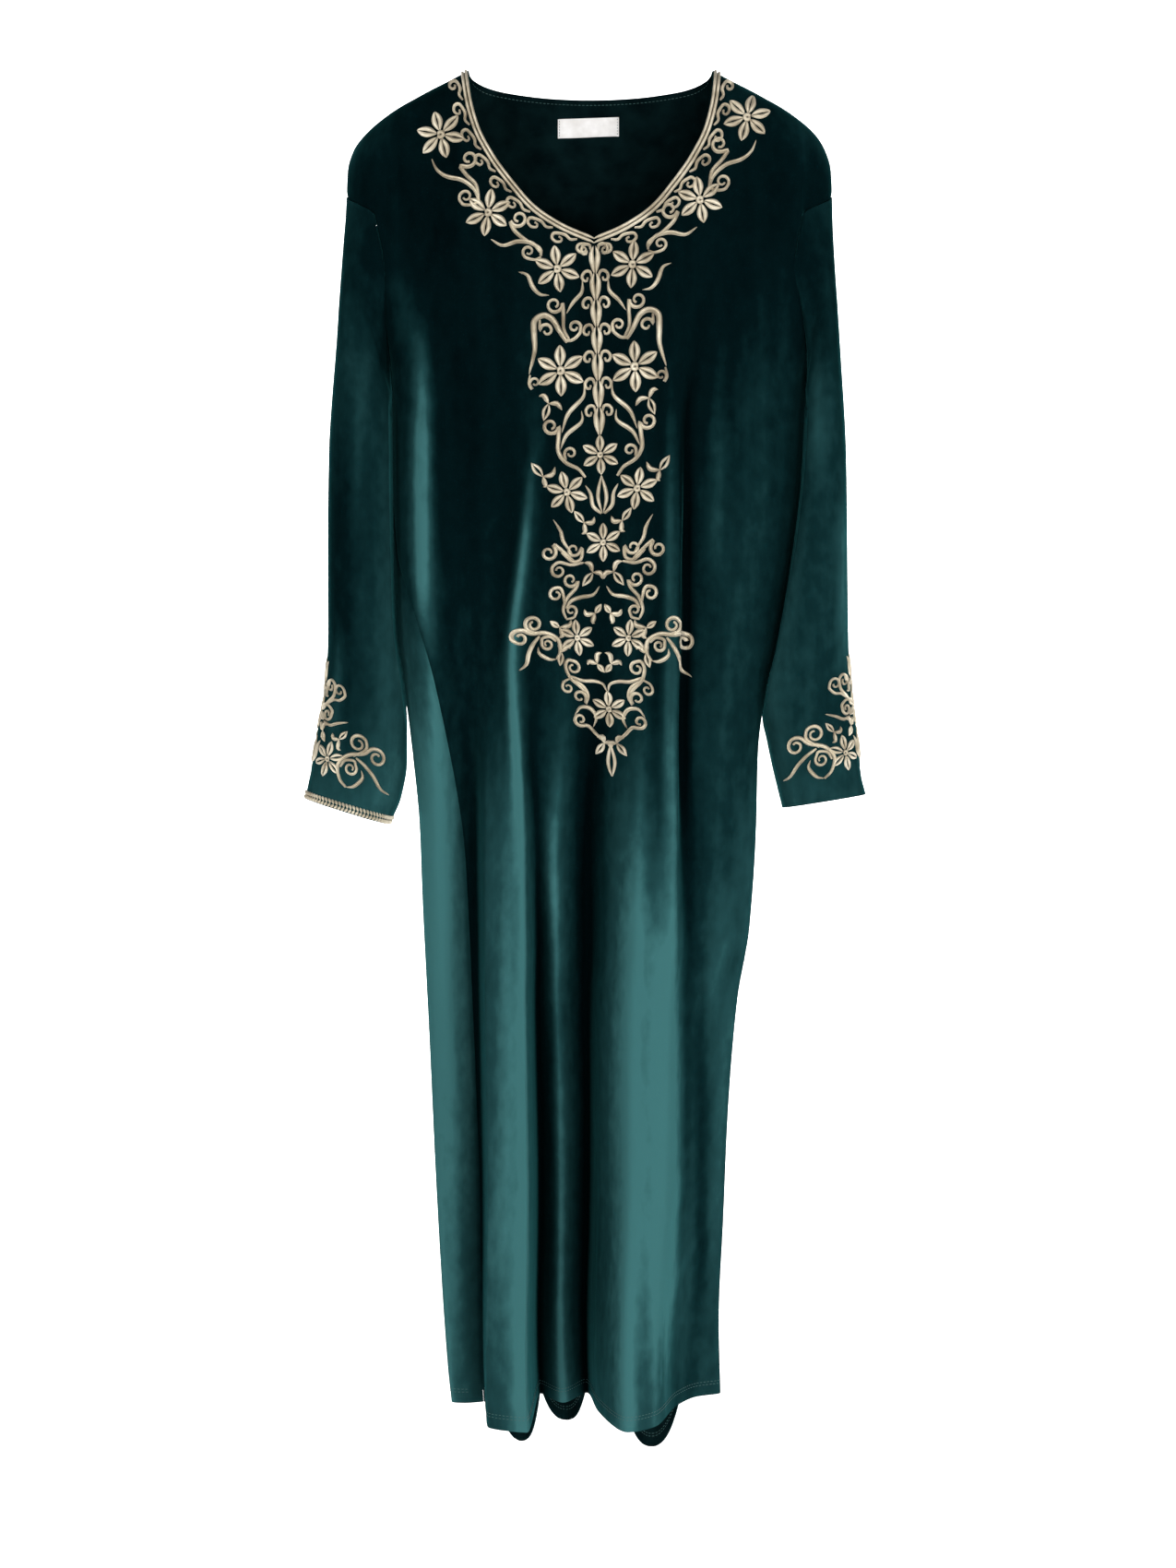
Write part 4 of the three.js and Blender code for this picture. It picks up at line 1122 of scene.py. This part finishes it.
def breast_motifs(motifs):
    """From the point of the neck to the end of the centre column."""
    motifs.flower((38, 31), 24, 0.1)
    motifs.draw([(77, 32), (68, 36), (63, 48), (56, 56), (47, 57.5)], 5.4, "leaf")
    motifs.draw([(13, 44), (14, 56), (23, 66), (30, 77)], 5.0, "leaf")
    motifs.curl([(28, 103), (33, 92), (33, 77), (33.6, 66)], (42, 67), 8.6, -1, 1.2, 4.6)
    motifs.curl([(37, 96), (31, 103.5), (24, 103.5), (17.5, 98)], (22, 91), 6.8, 1, 1.15, 4.2)
    arch = [(30, 106), (37, 94.5), (44, 82), (53.5, 77.5), (62.5, 83), (63, 98), (63, 113), (69, 136)]
    motifs.draw(arch, 7.4, "tail", height=1.9)
    motifs.curl([(57, 82), (57, 92)], (50.5, 93), 7.2, -1, 0.95, 4.2)
    motifs.curl([(68, 137), (69.5, 146), (66, 152)], (63.5, 145), 5.8, -1, 1.1, 3.4)
    motifs.flower((37.5, 134), 26)
    motifs.lily((50, 165), (56, 184), (60, 159), (37, 174))
    stem = [(16, 243), (23, 234), (35, 227), (42, 216), (41.5, 201), (40.5, 191)]
    motifs.curl(stem, (49, 189.5), 8.4, -1, 1.2, 5.2)
    motifs.draw([(14, 149), (15.5, 162), (31, 178), (38, 197)], 5.6, "leaf")
    motifs.draw([(17.5, 176), (18, 187), (33, 199), (40, 214)], 5.4, "leaf")
    motifs.curl([(40, 222), (35.5, 225)], (30, 218), 6.6, -1, 1.15, 3.8)
    motifs.flower((0, 221), 20, on_axis=True)
    motifs.lily((57.7, 242), (69.5, 226), (46, 231), (59, 251))
    motifs.flower((35.5, 257), 21.5, 0.2)


def waist_motifs(motifs):
    """From the tulip down to the side wings."""
    motifs.almond((0, 280), (0, 241), 0.11, 4.6, sides=(1,))
    motifs.draw([(1.5, 280), (9.5, 272), (11.5, 260), (16.5, 251)], 4.8, "tail")
    motifs.lily((18, 290), (29, 276), (8.5, 283), (22, 299.5))
    motifs.flower((0, 309), 19.5, on_axis=True)
    motifs.draw([(50, 284), (43, 296), (40, 307), (31, 320)], 4.6, "leaf")
    motifs.curl([(30, 327), (42, 315.5), (50, 309.5)], (55, 318), 8.2, -1, 1.2, 4.6)
    motifs.curl([(42, 318), (31, 327.5), (22.5, 325), (21.5, 314)], (30, 315.5), 7.2, -1)
    motifs.curl([(20, 329), (32, 331), (44, 328), (50.5, 332)], (45, 337), 7.2, 1)
    motifs.lily((9.3, 337.5), (21, 353), (19.5, 329), (0.6, 346))
    stem = [(37, 386), (40, 377), (36, 365), (27.5, 355), (25.5, 347.5)]
    motifs.curl(stem, (33, 346.5), 7.6, -1, 1.15, 4.4)
    motifs.curl([(37, 387), (29.5, 385)], (32, 378), 6.0, 1, 1.1, 3.6)
    motifs.curl([(38.5, 372), (40.5, 360), (43, 355)], (47.5, 361.5), 7.4, 1)
    motifs.draw([(37, 376), (32, 368), (22, 364), (10, 361.5), (3.5, 353)], 5.0, "tail")
    motifs.lily((9, 382), (1.5, 371), (19, 376.5), (8, 390.5))
    motifs.flower((26, 405.5), 18.5, 0.1)
    motifs.lily((42, 396.5), (53.5, 389), (32, 387.5), (44, 406))
    motifs.lily((42, 419), (45, 435), (33, 417), (46, 411))
    motifs.wing((56, 413), 1.0, 0.0)


def hem_of_embroidery(motifs):
    """The narrowing end below the side wings."""
    motifs.lily((8.5, 430), (0.5, 440), (1.5, 420), (17, 433))
    motifs.curl([(22, 461), (28, 455), (36, 447), (39.5, 436), (37, 429)], (32, 436), 7.4, -1)
    motifs.draw([(36, 445), (24, 449), (12, 449), (3.5, 452), (0.8, 459)], 4.4, "tail")
    motifs.curl([(33, 449), (24, 455), (20.5, 464), (24, 472.5)], (29, 466), 7.2, 1, 1.05, 4.2)
    motifs.curl([(36, 447), (43, 451)], (40, 457), 5.8, 1, 1.1, 3.4)
    motifs.flower((0, 477), 18.5, on_axis=True)
    motifs.draw([(35.5, 485), (29, 476.5), (19, 477), (13.5, 486), (17, 496)], 4.8, "leaf")
    motifs.curl([(7, 509), (15, 502), (22, 495)], (30, 489), 6.8, -1, 1.2, 4.2)
    motifs.lily((5, 510), (15.5, 523.5), (13.5, 506), (0.8, 516))
    motifs.almond((0, 545), (0, 512), 0.10, 3.8, sides=(1,))


def front_embroidery():
    work = Threadwork(front_place)
    for part in (centre_column, yoke_motifs, breast_motifs, waist_motifs, hem_of_embroidery):
        part(Motifs(work))
    return work.mesh("front_embroidery")


class SleevePlace:
    """Takes u round the sleeve, from its axis of embroidery, and v up from the cuff to its surface."""

    def __init__(self, points, normals):
        self.points, self.normals = (np.concatenate([p, p[:, :1]], axis=1) for p in (points, normals))
        self.round = lengths_along(self.points, axis=1)
        self.down = lengths_along(points[:, 0])

    def __call__(self, u, v):
        row = np.interp(self.down[-1] - v, self.down, np.arange(len(self.down)))
        low = np.clip(np.floor(row).astype(int), 0, len(self.down) - 2)
        share = (row - low)[:, None]
        found = []
        for values in (self.points, self.normals):
            ends = []
            for offset in (0, 1):
                out = np.zeros((len(u), 3))
                for i in np.unique(low):
                    here = low == i
                    lengths = self.round[i + offset]
                    at = np.mod(u[here] + SLEEVE_AXIS, lengths[-1])
                    for c in range(3):
                        out[here, c] = np.interp(at, lengths, values[i + offset][:, c])
                ends.append(out)
            found.append(ends[0] * (1 - share) + ends[1] * share)
        return found[0], unit(found[1])


def sleeve_embroidery(name, place):
    """The cuff's embroidery, alike on both sides of its axis. v is 0 at the cuff and below 0 above it."""
    work = Threadwork(lambda u, v: place(u, -v), SLEEVE_THREAD_SCALE)
    motifs = Motifs(work)
    motifs.almond((0, -122), (0, -147), 0.17, 2.8, sides=(1,))
    motifs.draw([(1.5, -122), (7, -128), (8.5, -137), (11.5, -143)], 4.2, "tail")
    motifs.lily((11, -115), (19.5, -126), (5, -121), (16, -108))
    motifs.curl([(10, -96), (18, -103), (26, -110), (28.5, -119)], (21, -119), 7.4, -1)
    motifs.curl([(16, -100), (26, -106), (34, -107.5), (40, -113)], (33.5, -117), 6.8, -1, 1.1, 4.0)
    motifs.curl([(12, -98), (19, -99), (26, -95)], (20, -90), 6.6, 1, 1.2, 4.0)
    motifs.draw([(16, -82), (26, -80), (35, -84), (46, -88)], 4.6, "tail")
    motifs.flower((0, -92), 16.5, on_axis=True)
    motifs.lily((14, -74), (21, -62), (9, -81), (22, -79))
    motifs.almond((0, -40), (0, -66), 0.17, 3.0, sides=(1,))
    motifs.draw([(1.5, -40), (8, -46), (9.5, -55), (13, -62)], 4.4, "tail")
    motifs.flower((28, -46), 18.5, 0.15)
    motifs.lily((38, -67), (47, -79), (31, -73), (42, -58))
    motifs.wing((54, -43), 1.12, 0.42)
    return work.mesh(name)


def sunk(place, u, v):
    """The sleeve's inside: its surface moved in by the cloth, with normals that point in."""
    points, normals = place(u, v)
    return points - normals * (WALL + 0.2), -normals


def cuff_braid(name, place, inside):
    """A herringbone plait round the cuff, outside it, or inside where the cuff is turned in."""
    work = Threadwork(partial(sunk, place) if inside else place)
    girth, middle = place.round[-1, -1], PLAIT_WIDTH / 2
    count = round(girth / PLAIT_PITCH)
    for i in range(count):
        u = girth * i / count
        for edge in (PLAIT_EDGE, PLAIT_WIDTH - PLAIT_EDGE):
            strand = [(u, edge), (u + PLAIT_SWEEP[0], (edge + middle) / 2), (u + PLAIT_SWEEP[1], middle)]
            work.stroke(strand, PLAIT_STRAND, "leaf", grooved=False)
    return work.mesh(name)


# ---- Stitches and label ----

HEM_STITCH_HEIGHTS = (11.5, 14.5)
BACK_NECK_HEM = 5.5
FREE_COLUMNS = 3  # without stitches at each end of a hem
STITCH_END_LIFT, STITCH_END_SHARE, STITCH_SINKS = 0.05, 0.6, 0.4
LABEL_SIZE, LABEL_PLACE, LABEL_LEAN = (64, 20), (-2, -43), 0.035
LABEL_GRID = (41, 15)
LABEL_WALL, LABEL_CLEAR, LABEL_LIFT = 0.6, 0.9, 0.5
LABEL_FOLD, LABEL_WAVE = 2.5, 9


def stitches(name, lines, length=2.6, gap=1.5, width=0.55, height=0.45):
    """Rows of small raised stitches. Each line is points and normals along it."""
    points, faces = [], []
    end = (STITCH_END_LIFT, STITCH_END_SHARE)
    for line, normals in lines:
        at = lengths_along(line)
        for start in np.arange(0, at[-1] - length, length + gap):
            where = [start, start + length / 2, start + length]
            p = np.stack([np.interp(where, at, line[:, c]) for c in range(3)], axis=-1)
            n = unit(np.stack([np.interp(where, at, normals[:, c]) for c in range(3)], axis=-1))
            way = unit(p[2] - p[0])
            side = np.cross(way, n[1]) * width / 2
            first = len(points)
            for i, (lift, spread) in enumerate((end, (height, 1), end)):
                raised = p[i] + n[i] * lift
                points += [raised + side * spread, raised - side * spread, p[i] - n[i] * STITCH_SINKS]
            for i in (0, 1):
                a, b = first + 3 * i, first + 3 * (i + 1)
                faces += [(a, b, b + 1, a + 1), (a + 1, b + 1, b + 2, a + 2), (a + 2, b + 2, b, a)]
            faces += [(first, first + 1, first + 2), (first + 8, first + 7, first + 6)]
    return make_piece(name, points, faces, STITCHES)


def hem_line(points, normals, above):
    """A line of stitches `above` the hem, from a panel's grid."""
    points, normals = points[::-1], normals[::-1]
    up = lengths_along(points)
    row = np.argmax(up[1:] >= above, axis=0) + 1
    columns = np.arange(points.shape[1])
    start, end = up[row - 1, columns], up[row, columns]
    share = np.clip((above - start) / np.maximum(end - start, 1e-6), 0, 1)[:, None]
    near, far = points[row - 1, columns], points[row, columns]
    kept = slice(FREE_COLUMNS, -FREE_COLUMNS)
    return (near + (far - near) * share)[kept], normals[row, columns][kept]


def hem_rows(points, normals):
    return [hem_line(points, normals, above) for above in HEM_STITCH_HEIGHTS]


def neck_label():
    """The blank woven label, sewn inside the back of the neck and folded under at its ends."""
    width, height = LABEL_SIZE
    across, down = (np.linspace(-size / 2, size / 2, count) for size, count in zip(LABEL_SIZE, LABEL_GRID))
    u, v = np.meshgrid(across, -down)
    surface, normals = back_surface(LABEL_PLACE[0] + u, LABEL_PLACE[1] + v + LABEL_LEAN * u)
    from_end = np.minimum(1, (width / 2 - np.abs(u)) / LABEL_FOLD)
    ripple = np.sin(u / LABEL_WAVE) * (0.5 - v / height)
    lift = WALL + LABEL_CLEAR + LABEL_LIFT * (from_end + ripple)
    inner = surface - normals * lift[..., None]
    vertices, faces = wall_mesh(inner, -normals, False, thickness=LABEL_WALL)
    piece = make_piece("label_cloth", vertices, turned(faces, True), LABEL)
    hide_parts("neck_label")
    ends = [(inner[1:-1, k] - normals[1:-1, k] * 0.1, -normals[1:-1, k]) for k in (1, -2)]
    return piece, stitches("label_stitches", ends, length=1.8, gap=1.2)


# ---- Studio ----

CAMERA_PLACE = (-0.0024, -2.2, -0.7315)
LENS, SENSOR = 49.04, 36
FLOOR_Z, WALL_Y = -1.62, 3.8


def make_camera():
    data = bpy.data.cameras.new("camera")
    data.lens, data.sensor_width = LENS, SENSOR
    camera = add_object("camera", data)
    camera.location = CAMERA_PLACE
    camera.rotation_euler = (math.pi / 2, 0, 0)
    bpy.context.scene.camera = camera


def make_backdrop():
    """A pale floor that curves up into a wall behind the garment."""
    half_width, front_y, bend, top_z = 7.0, -6.0, 1.4, 4.5
    turn = np.linspace(0, math.pi / 2, 13)
    profile = [(front_y, FLOOR_Z)]
    profile += [(WALL_Y - bend + bend * math.sin(a), FLOOR_Z + bend - bend * math.cos(a)) for a in turn]
    profile.append((WALL_Y, top_z))
    points = [(x, y, z) for x in (-half_width, half_width) for y, z in profile]
    count = len(profile)
    faces = [(i, i + count, i + count + 1, i + 1) for i in range(count - 1)]
    mesh = bpy.data.meshes.new("backdrop")
    mesh.from_pydata(points, [], faces)
    mesh.polygons.foreach_set("use_smooth", [True] * len(mesh.polygons))
    mesh.materials.append(paper(0.93, 0.9, 0.42))
    add_object("backdrop", mesh)


def area_light(name, place, aim, size, power, spread=180):
    data = bpy.data.lights.new(name, "AREA")
    data.shape, data.size, data.size_y = "RECTANGLE", size[0], size[1]
    data.energy = power
    data.spread = math.radians(spread)
    light = add_object(name, data)
    light.location = place
    light.rotation_euler = (Vector(aim) - Vector(place)).to_track_quat("-Z", "Y").to_euler()


def make_lights():
    area_light("key", (-1.5, -2.1, 0.1), (0, 0, -0.75), (0.7, 1.0), 34)
    area_light("low_front", (0.6, -2.5, -1.25), (0.05, 0, -1.0), (1.0, 0.8), 42)
    area_light("right_key", (1.7, -1.7, -0.6), (0, 0, -0.8), (0.5, 1.4), 26)
    area_light("left_rim", (-1.9, -0.1, -0.7), (0, 0, -0.7), (0.5, 1.6), 6)
    area_light("right_rim", (2.0, -0.1, -0.7), (0, 0, -0.7), (0.5, 1.6), 8)
    for side in (-1, 1):
        area_light(f"wall_{side}", (2.6 * side, 2.3, 0.2), (1.0 * side, WALL_Y, -0.6), (1.2, 2.4), 170, 150)
    world = bpy.data.worlds.new("studio")
    world.use_nodes = True
    background = world.node_tree.nodes["Background"].inputs
    background["Color"].default_value = (1, 1, 1, 1)
    background["Strength"].default_value = 0.12
    bpy.context.scene.world = world


# ---- The garment ----

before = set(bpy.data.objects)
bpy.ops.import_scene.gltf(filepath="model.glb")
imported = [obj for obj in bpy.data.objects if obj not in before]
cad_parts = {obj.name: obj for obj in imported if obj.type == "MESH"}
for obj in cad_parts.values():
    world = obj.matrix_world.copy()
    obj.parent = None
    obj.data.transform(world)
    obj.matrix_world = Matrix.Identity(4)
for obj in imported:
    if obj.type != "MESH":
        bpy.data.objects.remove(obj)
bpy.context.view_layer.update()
VELVET, REVERSE = velvet(), velvet_reverse()
GOLD, STITCHES, LABEL = gold_thread(), dark_thread(), satin()


def panel(node, columns, face, top_edge, creases, drops, painted_streaks):
    grid = panel_grid(columns, face, top_edge, drops)
    points, normals = panel_cloth(grid, creases)
    inset = points.copy()
    for k, inner in ((0, 1), (-1, -2)):
        inset[:, k] += unit(points[:, inner] - points[:, k]) * SEAM_GAP / 2
    piece = cloth_piece(node, inset, normals, False, False, painted_streaks)
    return piece, points, normals


def sleeve(node, sizes):
    points = sleeve_rings(**sizes)
    normals = ring_normals(points) * -sizes["side"]
    points[0] += unit(points[1] - points[0]) * SEAM_GAP / 2
    piece = cloth_piece(node, points, normals, True, sizes["side"] > 0, SLEEVE_PAINTED_STREAKS[node])
    return piece, points, normals


front, front_points, front_normals = panel(
    "front_panel", FRONT_COLUMNS, 1, front_top_edge(), FRONT_CREASES, False, FRONT_PAINTED_STREAKS)
back, back_points, back_normals = panel(
    "back_panel", BACK_COLUMNS, -1, back_top_edge(), BACK_CREASES, True, BACK_PAINTED_STREAKS)
right, right_points, right_normals = sleeve("right_sleeve", SLEEVES["right_sleeve"])
left, left_points, left_normals = sleeve("left_sleeve", SLEEVES["left_sleeve"])

cords = neck_cords()
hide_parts("neck_trim")
embroidery = front_embroidery()
right_place = SleevePlace(right_points, right_normals)
left_place = SleevePlace(left_points, left_normals)
right_work = sleeve_embroidery("right_sleeve_embroidery", right_place)
left_work = sleeve_embroidery("left_sleeve_embroidery", left_place)
right_braid = cuff_braid("right_cuff_plait", right_place, False)
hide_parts("right_cuff_braid")
left_braid = cuff_braid("left_cuff_plait", left_place, True)
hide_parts("left_cuff_braid")
label, label_stitches = neck_label()
front_hem = stitches("front_hem_stitches", hem_rows(front_points, front_normals))
inside_points = back_points - back_normals * WALL
back_rows = hem_rows(back_points, back_normals) + hem_rows(inside_points, -back_normals)
back_hem = stitches("back_hem_stitches", back_rows)
neck_columns = slice(SHOULDER_COLUMNS * COLUMN_SPLITS, -SHOULDER_COLUMNS * COLUMN_SPLITS)
neck_grid = (inside_points[::-1, neck_columns], -back_normals[::-1, neck_columns])
back_neck = stitches("back_neck_stitches", [hem_line(*neck_grid, BACK_NECK_HEM)])

make_camera()
make_backdrop()
make_lights()
bpy.context.scene.view_settings.view_transform = "Standard"
